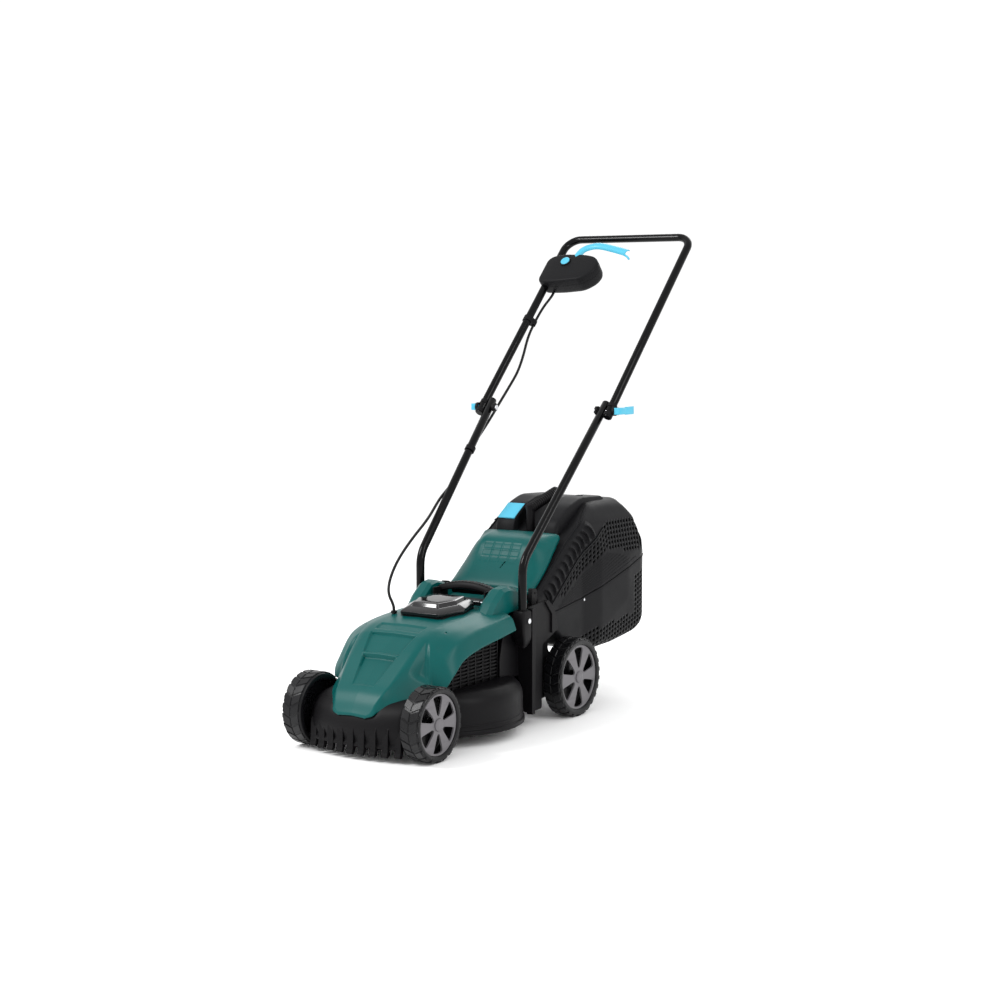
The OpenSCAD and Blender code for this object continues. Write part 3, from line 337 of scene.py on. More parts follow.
class Form:
    """The mesh of one piece, gathered in millimetres from the front axle."""

    def __init__(self):
        self.verts, self.faces = [], []

    def add(self, verts, faces):
        """Adds points, and faces that count from the first of them."""
        start = len(self.verts)
        self.verts += [Vector(v) for v in verts]
        self.faces += [[start + i for i in f] for f in faces]
        return self

    def grid(self, rows, wrap=False, caps=False, keep=None):
        """Quads between rows of points; keep(centre) may leave some out."""
        width = len(rows[0])
        verts = [Vector(p) for row in rows for p in row]
        faces = []
        for i in range(len(rows) - 1):
            for j in range(width if wrap else width - 1):
                k = (j + 1) % width
                face = [i * width + j, i * width + k,
                        (i + 1) * width + k, (i + 1) * width + j]
                if keep is None or keep(sum((verts[v] for v in face),
                                            Vector()) / 4):
                    faces.append(face)
        if caps:
            last = (len(rows) - 1) * width
            faces.append(list(range(width))[::-1])
            faces.append([last + j for j in range(width)])
        return self.add(verts, faces)

    def prism(self, outline, low, high, at=None):
        """An outline in the YZ plane drawn out along X; at() moves points."""
        at = at or (lambda p: p)
        rows = [[at(Vector((x, p[0], p[1]))) for p in outline]
                for x in (low, high)]
        return self.grid(rows, wrap=True, caps=True)

    def plate(self, outline, low, high, at=None):
        """An outline in the XY plane drawn up along Z; at() moves points."""
        at = at or (lambda p: p)
        rows = [[at(Vector((p[0], p[1], z))) for p in outline]
                for z in (low, high)]
        return self.grid(rows, wrap=True, caps=True)

    def block(self, low, high, at=None):
        """A straight block between two corners; at() moves points."""
        outline = [(low[1], low[2]), (high[1], low[2]),
                   (high[1], high[2]), (low[1], high[2])]
        return self.prism(outline, low[0], high[0], at)

    def lathe(self, profile, steps=64, at=None, closed=True):
        """(radius, x) points turned about the X axis."""
        at = at or (lambda p: p)
        rows = []
        for r, x in profile + (profile[:1] if closed else []):
            rows.append([at(Vector((x, r * math.cos(a), r * math.sin(a))))
                         for a in (2 * math.pi * k / steps
                                   for k in range(steps))])
        return self.grid(rows, wrap=True)

    def tube(self, path, radius, sides=20, caps=True):
        """A round bar along a path; radius may be a function of its share."""
        across = [(math.cos(a), math.sin(a)) for a in
                  (2 * math.pi * k / sides for k in range(sides))]
        return self.sweep(path, across, caps, radius)

    def sweep(self, path, section, caps=True, scale=1.0, up=None):
        """A section carried along a path without twisting."""
        path = [Vector(p) for p in path]
        rows = []
        side = None
        for i, p in enumerate(path):
            ahead = (path[min(i + 1, len(path) - 1)]
                     - path[max(i - 1, 0)]).normalized()
            if side is None:
                hint = Vector(up) if up else Vector((1, 0.02, 0.01))
                side = ahead.cross(hint).normalized()
            side = (side - ahead * side.dot(ahead)).normalized()
            other = ahead.cross(side)
            size = scale(i / (len(path) - 1)) if callable(scale) else scale
            rows.append([p + (side * u + other * v) * size
                         for u, v in section])
        return self.grid(rows, wrap=True, caps=caps)

    def make(self, name, outward=None):
        """The object, in metres in the shared frame, its faces outward."""
        mesh = bpy.data.meshes.new(name)
        verts = [(v.x * MM, v.y * MM + AXLE_Y, v.z * MM) for v in self.verts]
        mesh.from_pydata(verts, [], self.faces)
        work = bmesh.new()
        work.from_mesh(mesh)
        bmesh.ops.remove_doubles(work, verts=work.verts, dist=0.01 * MM)
        bmesh.ops.dissolve_degenerate(work, edges=work.edges, dist=0.02 * MM)
        bmesh.ops.recalc_face_normals(work, faces=work.faces)
        if outward is not None:
            hint = Vector(outward)
            lean = sum(f.normal.dot(hint) * f.calc_area() for f in work.faces)
            if lean < 0:
                bmesh.ops.reverse_faces(work, faces=work.faces)
        work.to_mesh(mesh)
        work.free()
        made = bpy.data.objects.new(name, mesh)
        bpy.context.scene.collection.objects.link(made)
        return made


def dress(made, finish, body, stands_for=(), angle=35, bevel=0.0, wall=0.0,
          segments=2, even=True):
    """Gives a piece its finish, edge rounding, wall and body."""
    made.data.materials.append(finish_of(finish))
    if wall:
        shell = made.modifiers.new("wall", "SOLIDIFY")
        shell.thickness = wall
        shell.offset = -1.0
        shell.use_even_offset = even
    if bevel:
        edge = made.modifiers.new("edge", "BEVEL")
        edge.width = bevel
        edge.segments = segments
        edge.limit_method = "ANGLE"
        edge.angle_limit = math.radians(30)
        edge.harden_normals = True
    made.data.shade_smooth()
    made.data.set_sharp_from_angle(angle=math.radians(angle))
    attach(made, body)
    if stands_for:
        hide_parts(*stands_for)
    return made


# ------------------------------------------------- sizes from the frame

def span(node, axis):
    """Lowest and highest place of a CAD node, in millimetres from the axle."""
    low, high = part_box(node)
    shift = AXLE_Y if axis == 1 else 0.0
    return (low[axis] - shift) / MM, (high[axis] - shift) / MM


def joint_point(name):
    """A joint's place, in millimetres from the front axle."""
    x, y, z = JOINTS[name]["pos_m"]
    return Vector((x / MM, (y - AXLE_Y) / MM, z / MM))


HANDS = (("right", -1), ("left", 1))
FOLD = joint_point("handle_fold")
# The handle's slope, and the lower tubes' bend: its run down the slope
# from the fold joint, and its height
SLOPE = math.radians(46)
BEND_RUN = 441
BEND_Z = 363
WHEELBASE = joint_point("rear_left_spin").y
CUTTER = joint_point("blade_spin")
HINGE = joint_point("rear_flap_lift")
# The grass box ends here, and its mouth is this far ahead of the rear axle
BOX_END = span("box_upper", 1)[1]
MOUTH_AHEAD = 38
MOUTH = WHEELBASE - MOUTH_AHEAD
FOOT_X = sum(span("handle_socket_left", 0)) / 2
FOOT_Y = FOLD.y - BEND_RUN * math.cos(SLOPE)
TUBE_R = 9.5
TUBE_TIP = 0.86
LEG_X = span("upper_frame", 0)[1] - TUBE_R
LOWER_TOP_X = 155.6
CABLE_D = 6.4


def on_handle(x, s, n):
    """A point across, up the slope from the fold joint, and off it."""
    return Vector((x, FOLD.y + s * math.cos(SLOPE) - n * math.sin(SLOPE),
                   FOLD.z + s * math.sin(SLOPE) + n * math.cos(SLOPE)))


def shared(p):
    """A point in metres in the shared frame."""
    return (p.x * MM, p.y * MM + AXLE_Y, p.z * MM)


def to_side(side):
    """What moves points drawn for the left over to one side."""
    return lambda p: Vector((side * p.x, p.y, p.z))


# ---------------------------------------------------------------- wheels
# Radius of a wheel's rim as a share of the tyre's
RIM_SHARE = 0.815


def wheel_place(end, hand, side):
    """A wheel's width, and what moves it there from about the X axis."""
    centre = joint_point(f"{end}_{hand}_spin")
    x_low, x_high = span(f"{end}_tyre_{hand}", 0)
    width, outer = x_high - x_low, max(abs(x_low), abs(x_high))

    def at(p):
        return Vector((side * (outer - width + p.x),
                       centre.y + p.y, centre.z + p.z))
    return width, at


def tread_block(form, at, r, height, x0, x1, a0, a1, lean):
    """One raised block: its ends are slanted by lean and its top is smaller."""
    corners = []
    for level, inset in ((r - 1.5, 0.0), (r + height - 0.7, 0.0),
                         (r + height, 0.9)):
        for x, a, e in ((x0, a0, 1), (x1, a0, 1), (x1, a1, -1), (x0, a1, -1)):
            mid = (x0 + x1) / 2
            px = mix(x, mid, inset / abs(x1 - x0) * 2)
            pa = a + lean * (x - x0) / (x1 - x0) + e * inset / r
            corners.append(at(Vector((px, level * math.cos(pa),
                                      level * math.sin(pa)))))
    faces = [[3, 2, 1, 0], [8, 9, 10, 11]]
    for ring in (0, 4):
        for j in range(4):
            k = (j + 1) % 4
            faces.append([ring + j, ring + k, ring + 4 + k, ring + 4 + j])
    form.add(corners, faces)


def build_tyre(end, hand, side):
    """A hard tread ring with its web, and two rows of slanted blocks."""
    sizes = bpy.context.scene.mower_sizes
    node = f"{end}_tyre_{hand}"
    low, high = span(node, 2)
    r_all = (high - low) / 2
    width, at = wheel_place(end, hand, side)
    height = sizes.tread_height / MM
    r = r_all - height
    rim = r_all * RIM_SHARE
    form = Form()
    profile = rounded([
        (rim - 3, 2), (rim + 2, 0), (r - 4, 0), (r, 5), (r, width - 5),
        (r - 4, width - 0.4), (rim + 4, width - 0.8), (rim + 0.4, width - 2.4),
        (rim + 0.2, width - 10), (rim - 3, width - 10), (rim - 3, width - 30),
        (14, width - 26), (14, width - 11), (6, width - 11), (6, 4), (13, 4),
        (13, width - 31), (rim - 8, width - 35)], 1.6, 3)
    form.lathe(profile, 96, at)
    count = sizes.tread_blocks if end == "front" else sizes.tread_blocks + 4
    pitch = 2 * math.pi / count
    for i in range(count):
        a = i * pitch
        tread_block(form, at, r, height, 3.5, width * 0.48, a,
                    a + pitch * 0.8, pitch * 0.4)
        tread_block(form, at, r, height, width * 0.53, width - 3.5,
                    a + pitch * 0.5, a + pitch * 1.3, -pitch * 0.4)
        tread_block(form, at, r - 1.4, height * 0.7, width - 5.2, width - 0.9,
                    a + pitch * 0.1, a + pitch * 0.55, 0)
    dress(form.make(node + "_piece"), "tyre", f"{end}_wheel_{hand}", [node],
          angle=28)


def window_outline(rim, middle):
    """A leaf-shaped gap between two spokes, round where it meets the rim."""
    half = [(0.29, 0.0), (0.33, 0.06), (0.45, 0.11), (0.6, 0.16),
            (0.74, 0.205), (0.85, 0.235), (0.91, 0.2), (0.935, 0.0)]
    shape = half + [(r, -w) for r, w in reversed(half[1:-1])]
    c, s = math.cos(middle), math.sin(middle)
    return [Vector(((r * c - w * s) * rim, (r * s + w * c) * rim, 0))
            for r, w in shape]


def flat_with_holes(outer, holes):
    """Triangles of a flat outline with holes, and its loops of points."""
    loops = [outer] + holes
    return loops, geometry.tessellate_polygon(loops)


def build_hub(end, hand, side):
    """The grey trim: a rim and six spokes that widen towards both ends."""
    node = f"{end}_hub_{hand}"
    low, high = span(node, 2)
    rim = (high - low) / 2 - 0.4
    width, at = wheel_place(end, hand, side)
    ring = [Vector((rim * math.cos(a), rim * math.sin(a), 0))
            for a in (2 * math.pi * k / 72 for k in range(72))]
    holes = []
    for k in range(6):
        corners = window_outline(rim, (k + 0.5) * math.pi / 3)
        holes.append(smooth_path(corners + [corners[0]], 4)[:-1])
    loops, faces = flat_with_holes(ring, holes)
    points = [p for loop in loops for p in loop]

    def lift(p, back):
        share = math.hypot(p.x, p.y) / rim
        dish = 0.8 * step(1.0, 0.25, share) - 1.6 * step(0.8, 0.96, share)
        rise = width - 5.2 + dish + 2.0 * step(0.9, 0.985, share)
        return at(Vector((rise - (3.6 if back else 0), p.x, p.y)))

    form = Form()
    count = len(points)
    verts = [lift(p, False) for p in points] + [lift(p, True) for p in points]
    skin = [list(f) for f in faces]
    skin += [[v + count for v in reversed(f)] for f in faces]
    start = 0
    for loop in loops:
        for j in range(len(loop)):
            k = (j + 1) % len(loop)
            skin.append([start + j, start + k,
                         start + k + count, start + j + count])
        start += len(loop)
    form.add(verts, skin)
    dress(form.make(node + "_piece"), "trim", f"{end}_wheel_{hand}", [node],
          angle=40, bevel=0.7 * MM)


def build_cap(end, hand, side):
    """The round cap in the middle of a trim, domed with a soft shoulder."""
    node = f"{end}_cap_{hand}"
    width, at = wheel_place(end, hand, side)
    profile = rounded([(0.01, width - 6), (13.4, width - 6),
                       (13.4, width - 2.2), (11.2, width - 0.9),
                       (6, width - 0.3), (0.01, width - 0.2)], 1.2, 4)
    form = Form().lathe(profile, 48, at)
    dress(form.make(node + "_piece"), "trim", f"{end}_wheel_{hand}", [node])


# ---------------------------------------------------------------- handle

def build_tubes():
    """Both lower tubes and the upper frame, bent from one size of tube."""
    foot, corner, high = 200, 38, 561
    turn = 26
    for hand, side in HANDS:
        top = on_handle(side * LOWER_TOP_X, 24, 0)
        bend = Vector((side * FOOT_X, FOOT_Y, BEND_Z))
        leg = (top - bend).normalized()
        path = [Vector((side * FOOT_X, FOOT_Y, foot)),
                Vector((side * FOOT_X, FOOT_Y, BEND_Z - turn))]
        arc = [bend - Vector((0, 0, turn)), bend, bend + leg * turn]
        for k in range(1, 10):
            path.append(curve(*arc, k / 10))
        path += [arc[2], mix(arc[2], top, 0.5), top - leg * 2.4, top]

        def size(share):
            return TUBE_R if share < 0.99 else TUBE_R * TUBE_TIP

        form = Form().tube(path, size, 32)
        name = f"lower_tube_{hand}"
        dress(form.make(name + "_piece"), "tube", "chassis", [name], angle=40)
    path = [on_handle(-LEG_X, -20, 0), on_handle(-LEG_X, -17, 0)]
    path.append(on_handle(-LEG_X, high - corner, 0))
    for k in range(1, 12):
        a = math.pi / 2 * k / 12
        path.append(on_handle(-LEG_X + corner * (1 - math.cos(a)),
                              high - corner + corner * math.sin(a), 0))
    half = path + [on_handle(-LEG_X + corner, high, 0)]
    other = [Vector((-p.x, p.y, p.z)) for p in reversed(half)]

    def frame_size(share):
        return TUBE_R * (TUBE_TIP if share in (0, 1) else 1.0)

    form = Form().tube(half + other, frame_size, 32)
    dress(form.make("upper_frame_piece"), "tube", "upper_handle",
          ["upper_frame"], angle=40)


def build_fold_joints():
    """Brackets and bushes where the two tubes meet."""
    for hand, side in HANDS:
        form = Form()
        profile = rounded([(7, 0), (10.8, 0), (10.8, 9.6), (7, 9.6)], 1.2, 3)

        def at(p):
            return Vector((side * (LEG_X + TUBE_R - 0.6 + p.x), FOLD.y + p.y,
                           FOLD.z + p.z))
        form.lathe([(r, x * 0.7) for r, x in profile], 40, at)
        for s in (-13, 13):
            saddle = [on_handle(side * LEG_X, s + d, 0) for d in (-5, 5)]
            form.tube(saddle, TUBE_R + 1.6, 32)
        dress(form.make(f"fold_bracket_{hand}"), "deck", "upper_handle",
              angle=35)


def build_cam_lever(hand, side):
    """A light blue cam lever with a scooped thumb pad."""
    node = f"cam_lever_{hand}"
    x_mid = joint_point(f"{hand}_cam_open").x * side
    form = Form()

    def at(p):
        return Vector((side * (x_mid + p.x), FOLD.y + p.y, FOLD.z + p.z))

    body = rounded([(-9, -9), (9, -9), (9.5, 8), (8, 30), (5.2, 66),
                    (-1.5, 69), (-3, 62), (1, 34), (-9, 9)], 8, 6)
    form.plate(body, -7.6, 7.6, at)
    rim = rounded([(3, 24), (8.6, 24), (6, 64), (0, 67), (-0.5, 60),
                   (3, 36)], 3, 4)
    form.plate(rim, -8.9, 8.9, at)
    dress(form.make(node + "_piece"), "accent", f"{hand}_cam", [node],
          bevel=1.4 * MM, segments=3)


# ------------------------------------------------------------ switch box

def case_outline():
    """The teardrop plan of the switch box: across, and up the slope."""
    return rounded([(-188, 394), (-128, 394), (-66, 402), (-40, 424),
                    (-34, 452), (-52, 478), (-84, 486), (-150, 489),
                    (-188, 478)], 18, 6)


def build_switch_case():
    """Two half shells of the switch box with a fine parting line."""
    outline = case_outline()
    centre = Vector((-110, 440))

    def plan(grow):
        return [centre + (Vector(p) - centre) * grow for p in outline]

    def rings(levels):
        return [[on_handle(p.x, p.y, n) for p in plan(g)] for n, g in levels]

    upper = [(4.4, 0.98), (4.4, 1.0), (17, 1.0), (20.4, 0.985), (22.6, 0.95),
             (23.4, 0.9), (23.9, 0.6), (24.0, 0.3), (24.0, 0.02)]
    form = Form().grid(rings(upper), wrap=True, caps=True)
    dress(form.make("switch_case_upper_piece"), "box", "upper_handle",
          ["switch_case_upper"], angle=50)
    lower = [(3.6, 0.98), (3.6, 0.995), (-14, 0.985), (-21, 0.95),
             (-25, 0.86), (-26, 0.7), (-26, 0.02)]
    form = Form().grid(rings(lower), wrap=True, caps=True)
    dress(form.make("switch_case_lower_piece"), "box", "upper_handle",
          ["switch_case_lower"], angle=50)


def build_button():
    """The round safety button, slightly dished for the thumb."""
    low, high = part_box("safety_button")
    mid_x = (low.x + high.x) / 2 / MM

    def at(p):
        return on_handle(mid_x + p.y, 460 + p.z, p.x)
    profile = rounded([(0.01, 13), (8.8, 13), (8.8, 24.4), (11.6, 24.4),
                       (11.6, 27.4), (10.4, 28), (0.01, 26.6)], 0.8, 4)
    form = Form().lathe(profile, 40, at)
    dress(form.make("safety_button_piece"), "accent", "button",
          ["safety_button"])
    ring = rounded([(12, 22), (14.4, 22), (14.4, 26), (12, 27)], 0.6, 3)
    form = Form().lathe(ring, 40, at)
    dress(form.make("button_ring"), "deck", "upper_handle")


def build_bail():
    """The bail lever: a curved channel that ends in a small turned-up lip."""
    path = smooth_path([on_handle(-109, 470, 17), on_handle(-108, 486, 20),
                        on_handle(-99, 504, 21), on_handle(-80, 514, 21),
                        on_handle(-56, 516, 21), on_handle(-20, 507, 21),
                        on_handle(20, 494, 21), on_handle(30, 490, 21)], 6)
    section = []
    for k in range(9):
        a = math.pi * (0.04 + 0.92 * k / 8)
        section.append((10.4 * math.cos(a), 9 * math.sin(a) - 4))
    section += [(u * 0.76, (v + 4) * 0.72 - 4) for u, v in reversed(section)]

    normal = on_handle(0, 0, 1) - on_handle(0, 0, 0)
    rows = []
    for i, p in enumerate(path):
        ahead = (path[min(i + 1, len(path) - 1)]
                 - path[max(i - 1, 0)]).normalized()
        side = ahead.cross(normal).normalized()
        up = side.cross(ahead)
        rows.append([p + side * u + up * v for u, v in section])
    form = Form().grid(rows, wrap=True, caps=True)
    lip = smooth_path([on_handle(16, 488, 19), on_handle(32, 480, 18),
                       on_handle(40, 473, 15)], 4)
    form.tube(lip, 2.6, 16)
    boss = [on_handle(-115.5, 468, 14), on_handle(-98.5, 468, 14)]
    form.tube(boss, 6.8, 24)
    dress(form.make("bail_lever_piece"), "accent", "bail", ["bail_lever"],
          angle=40, bevel=0.6 * MM)


# ----------------------------------------------------------------- cable

def build_cable():
    """The cable: clipped along the handle, then a free loop to the hood."""
    upper = [(-152, 394, -14), (-152, 376, -14), (-161, 340, -14),
             (-162, 285, -13), (-162, 240, -16), (-161, 195, -31),
             (-160, 150, -39), (-160, 110, -37), (-160, 60, -33),
             (-160, 20, -29.8), (-160, -20, -27), (-160, -60, -22),
             (-160, -88, -18.5), (-160, -110, -12), (-158, -150, -10)]
    loop = [(-156, 538, 530), (-157, 505, 501), (-157, 478, 485),
            (-152, 452, 471), (-140, 400, 440), (-126, 316, 402),
            (-112, 245, 364), (-100, 200, 328), (-92, 184, 300),
            (-78, 186, 276), (-78, 186, 258), (-78, 186, 240)]
    route = [on_handle(*p) for p in upper] + [Vector(p) for p in loop]
    line, split = [route[0]], 0
    for i in range(1, len(route) - 1):
        before = (route[i - 1] + route[i]) / 2
        after = (route[i] + route[i + 1]) / 2
        if i == len(upper):
            split = len(line)
        for k in range(6):
            line.append(curve(before, route[i], after, k / 6))
    line.append(route[-1])
    made = Form().tube(line[:split + 1], CABLE_D / 2, 14).make("handle_cable")
    made.data.materials.append(finish_of("cable"))
    made.data.shade_smooth()
    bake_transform(made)
    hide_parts("cable_upper", "cable_fold")
    free = line[split:]
    made = Form().tube(free, CABLE_D / 2, 14).make("loose_cable")
    dress(made, "cable", "chassis", ["cable_lower"], angle=60)
    length = sum((b - a).length for a, b in zip(free, free[1:])) * MM
    shared(free[0])
    [shared(p) for p in free]


# ------------------------------------------------------------------ hood
# Each station: y, ridge half-width and height, flank, crease, outer edge
HOOD = [
    (-66, 30, 90, 31, 90, 32, 89.6, 33, 89),
    (-62, 44, 97, 46, 96, 48, 95, 49, 94),
    (-52, 52, 116, 54, 112, 56, 107, 57, 102),
    (-41, 58, 131, 61, 124, 65, 114, 68, 107),
    (-21, 63, 148, 68, 140, 76, 127, 84, 119),
    (7, 70, 174, 80, 160, 92, 138, 104, 124),
    (40, 75, 205, 92, 188, 108, 154, 120, 131),
    (54, 76, 217, 97, 201, 116, 165, 123, 136),
    (60, 76, 222, 100, 206, 123, 171, 141, 138),
    (80, 78, 236, 106, 221, 132, 196, 151, 162),
    (118, 80, 249, 112, 238, 140, 222, 151, 190),
    (180, 82, 257, 116, 248, 142, 238, 151, 207),
    (255, 84, 263, 118, 255, 142, 246, 151, 218),
    (322, 88, 267, 116, 260, 138, 250, 147, 226)]
BAY = (-52, 52, 182, 294)


def hood_station(y):
    """The station at y, on a smooth curve through the listed ones."""
    for i in range(len(HOOD) - 1):
        if y <= HOOD[i + 1][0] or i == len(HOOD) - 2:
            break
    before, a = HOOD[max(i - 1, 0)], HOOD[i]
    b, after = HOOD[i + 1], HOOD[min(i + 2, len(HOOD) - 1)]
    t = min(1.0, max(0.0, (y - a[0]) / (b[0] - a[0])))
    made = []
    for k in range(1, 9):
        m0 = (b[k] - before[k]) / max(b[0] - before[0], 1)
        m1 = (after[k] - a[k]) / max(after[0] - a[0], 1)
        run = b[0] - a[0]
        made.append((2 * t ** 3 - 3 * t * t + 1) * a[k]
                    + (t ** 3 - 2 * t * t + t) * run * m0
                    + (3 * t * t - 2 * t ** 3) * b[k]
                    + (t ** 3 - t * t) * run * m1)
    return made


def hood_section(y, count):
    """Points across the hood at y, from the left edge to the right one."""
    rw, rz, fw, fz, cw, cz, ew, ez = hood_station(y)
    half = rounded([(0, rz + 2), (rw, rz), (fw, fz), (cw, cz), (ew, ez)],
                   9, 6, closed=False)
    lengths = [0.0]
    for a, b in zip(half, half[1:]):
        lengths.append(lengths[-1] + math.dist(a, b))
    keyed = [(s,) + tuple(p) for s, p in zip(lengths, half)]
    side = [along(keyed, lengths[-1] * k / count) for k in range(count + 1)]
    return [(-x, z) for x, z in reversed(side[1:])] + side


def ramp_panel(x, y, low, high, half_low, half_high, soft=2.2):
    """1 inside a panel whose half-width changes from low to high, else 0."""
    half = mix(half_low, half_high, (y - low) / (high - low))
    return (step(half + soft / 2, half - soft / 2, abs(x))
            * step(low - soft / 2, low + soft / 2, y)
            * step(high + soft / 2, high - soft / 2, y))


def hood_dent(x, y, depth):
    """How far the hood's skin is pressed in at a place."""
    low, high = 35, 80
    dent = (ramp_panel(x, y, low, high, 45, 57) * depth
            * (0.55 + 0.35 * (y - low) / (high - low)))
    ledge = ramp_panel(x, y, 29.5, 36, 44, 45, 1.8)
    dent -= ledge * depth * 0.25
    share = min(1.0, max(0.0, (y + 26) / 56))
    dent += ramp_panel(x, y, -26, 30, 27, 41, 3) * depth * (0.25 + share)
    dent += ramp_panel(x, y, 92, 117, 56, 58, 4) * depth * 0.45
    return dent


def scoop(x, y):
    """The three-cornered scoop pressed into each flank."""
    x = abs(x)
    a, b, c = (82, 12), (87, 88), (119, 45)

    def side(p, q):
        run = math.dist(p, q)
        return ((q[0] - p[0]) * (y - p[1]) - (q[1] - p[1]) * (x - p[0])) / run

    gap = min(-side(a, b), -side(b, c), -side(c, a))
    if gap <= 0:
        return 0.0
    deep = min(1.0, -side(a, b) / 16)
    return 7.5 * deep * step(0, 9, min(-side(b, c), -side(c, a)))


def build_hood():
    """The teal upper moulding: tongue, recessed panels, scoops and arches."""
    depth = bpy.context.scene.mower_sizes.recess_depth / MM
    y_low, y_high = HOOD[0][0], HOOD[-1][0]
    count, across = 196, 92
    rows, sections = [], []
    for i in range(count + 1):
        y = mix(y_low, y_high, i / count)
        sections.append([Vector((x, y, z))
                         for x, z in hood_section(y, across)])
    for i, section in enumerate(sections):
        row = []
        for j, p in enumerate(section):
            fore = sections[max(i - 1, 0)][j]
            aft = sections[min(i + 1, count)][j]
            one = section[max(j - 1, 0)]
            two = section[min(j + 1, len(section) - 1)]
            normal = (two - one).cross(aft - fore).normalized()
            press = hood_dent(p.x, p.y, depth) + scoop(p.x, p.y)
            row.append(p - normal * press)
        rows.append(row)

    def keep(c):
        in_bay = BAY[0] < c.x < BAY[1] and BAY[2] < c.y < BAY[3]
        screw = math.hypot(abs(c.x) - 104, c.y - 122) < 2.6
        return not (in_bay or screw)

    form = Form().grid(rows, keep=keep)
    # The edge of the skin turns down all round
    for end in (-1, 0):
        lip = [p + Vector((0, 0, -3)) for p in rows[end]]
        form.grid([rows[end], lip])
    for j in (0, -1):
        edge = [row[j] for row in rows]
        turned = [p + Vector((0, 0, -3)) for p in edge]
        form.grid([edge, turned])
    made = form.make("hood_skin", outward=(0, 0, 1))
    dress(made, "teal", "chassis", ["hood"], angle=62, wall=2.6 * MM)


def build_hood_rear():
    """Shoulders beside the carrying grip and the rim of the bay."""
    form = Form()
    for side in (-1, 1):
        outline = rounded([(268, 256), (292, 284), (324, 308), (350, 312),
                           (386, 303), (412, 290), (420, 276),
                           (420, 256)], 4, 4)

        def at(p):
            return Vector((side * (p.x + 5 * step(300, 410, p.y)), p.y, p.z))
        rows = []
        for x, grow in ((76, 0.9), (84, 1.0), (103, 1.0), (113, 0.84)):
            mid = Vector((340, 262))
            rows.append([at(Vector((x, mid.x + (p[0] - mid.x) * grow,
                                    mid.y + (p[1] - mid.y) * grow)))
                         for p in outline])
        form.grid(rows, wrap=True, caps=True)
    deck_rear = rounded([(316, 250), (316, 267), (372, 272), (420, 276),
                         (422, 268), (420, 262), (370, 256)], 3, 3)
    form.prism(deck_rear, -112, 112)
    dress(form.make("hood_shoulders"), "teal", "chassis", angle=40,
          bevel=0.8 * MM)
    rim = Form()
    x0, x1, y0, y1 = BAY
    loop = rounded([(x0 - 2, y0 - 2), (x1 + 2, y0 - 2), (x1 + 2, y1 + 2),
                    (x0 - 2, y1 + 2)], 6, 5)

    def drape(p, lower):
        top = 258 + (p[1] - y0) * 0.07
        return Vector((p[0], p[1], top - lower))
    rings = []
    for grow, lower in ((1.0, 0), (1.035, -1.2), (1.06, 0.6), (1.06, 6),
                        (1.0, 6)):
        mid = Vector(((x0 + x1) / 2, (y0 + y1) / 2))
        rings.append([drape(mid + (Vector(p) - mid) * grow, lower)
                      for p in loop])
    rings.append(rings[0])
    rim.grid(rings, wrap=True)
    dress(rim.make("bay_rim"), "deck", "chassis")


def build_vent(hand, side):
    """The dark grille under an arch: columns of stacked, bent slats."""
    node = f"side_vent_{hand}"
    low, high = span(node, 1)
    form = Form()
    floor_z, top_z, slat_pitch = 116.6, 214, 7.6
    columns = 7
    arch = [(low, 140), (low + 20, 172), (low + 45, 190), (low + 100, 205),
            (low + 150, 214), (high, 219)]
    back = [(low, floor_z), (high, floor_z)] + arch[::-1]
    at = to_side(side)
    form.prism(back, 105.5, 107, at)
    pitch = (high - low) / columns
    for c in range(columns + 1):
        y = low + c * pitch
        top = along(arch, y)[0] - 2
        form.block((106, y - 1.6, floor_z), (111.5, y + 1.6, top), at)
    z = floor_z + 7
    while z < top_z:
        for c in range(columns):
            y = low + (c + 0.5) * pitch
            top = min(along(arch, y - pitch * 0.4)[0],
                      along(arch, y + pitch * 0.4)[0])
            if z + 5 > top:
                continue
            slat = [(-2.4, 0), (-2.4, 3.2), (2.2, 5.2), (2.2, 2.0)]
            rows = []
            for t in (-0.5, -0.25, 0, 0.25, 0.5):
                bow = 2.2 * (1 - 4 * t * t)
                rows.append([at(Vector((108.6 + bow + u, y + t * pitch * 0.93,
                                        z + v))) for u, v in slat])
            form.grid(rows, wrap=True, caps=True)
        z += slat_pitch
    dress(form.make(node + "_piece"), "deck", "chassis", [node], angle=30)


# ----------------------------------------------------------- battery lid

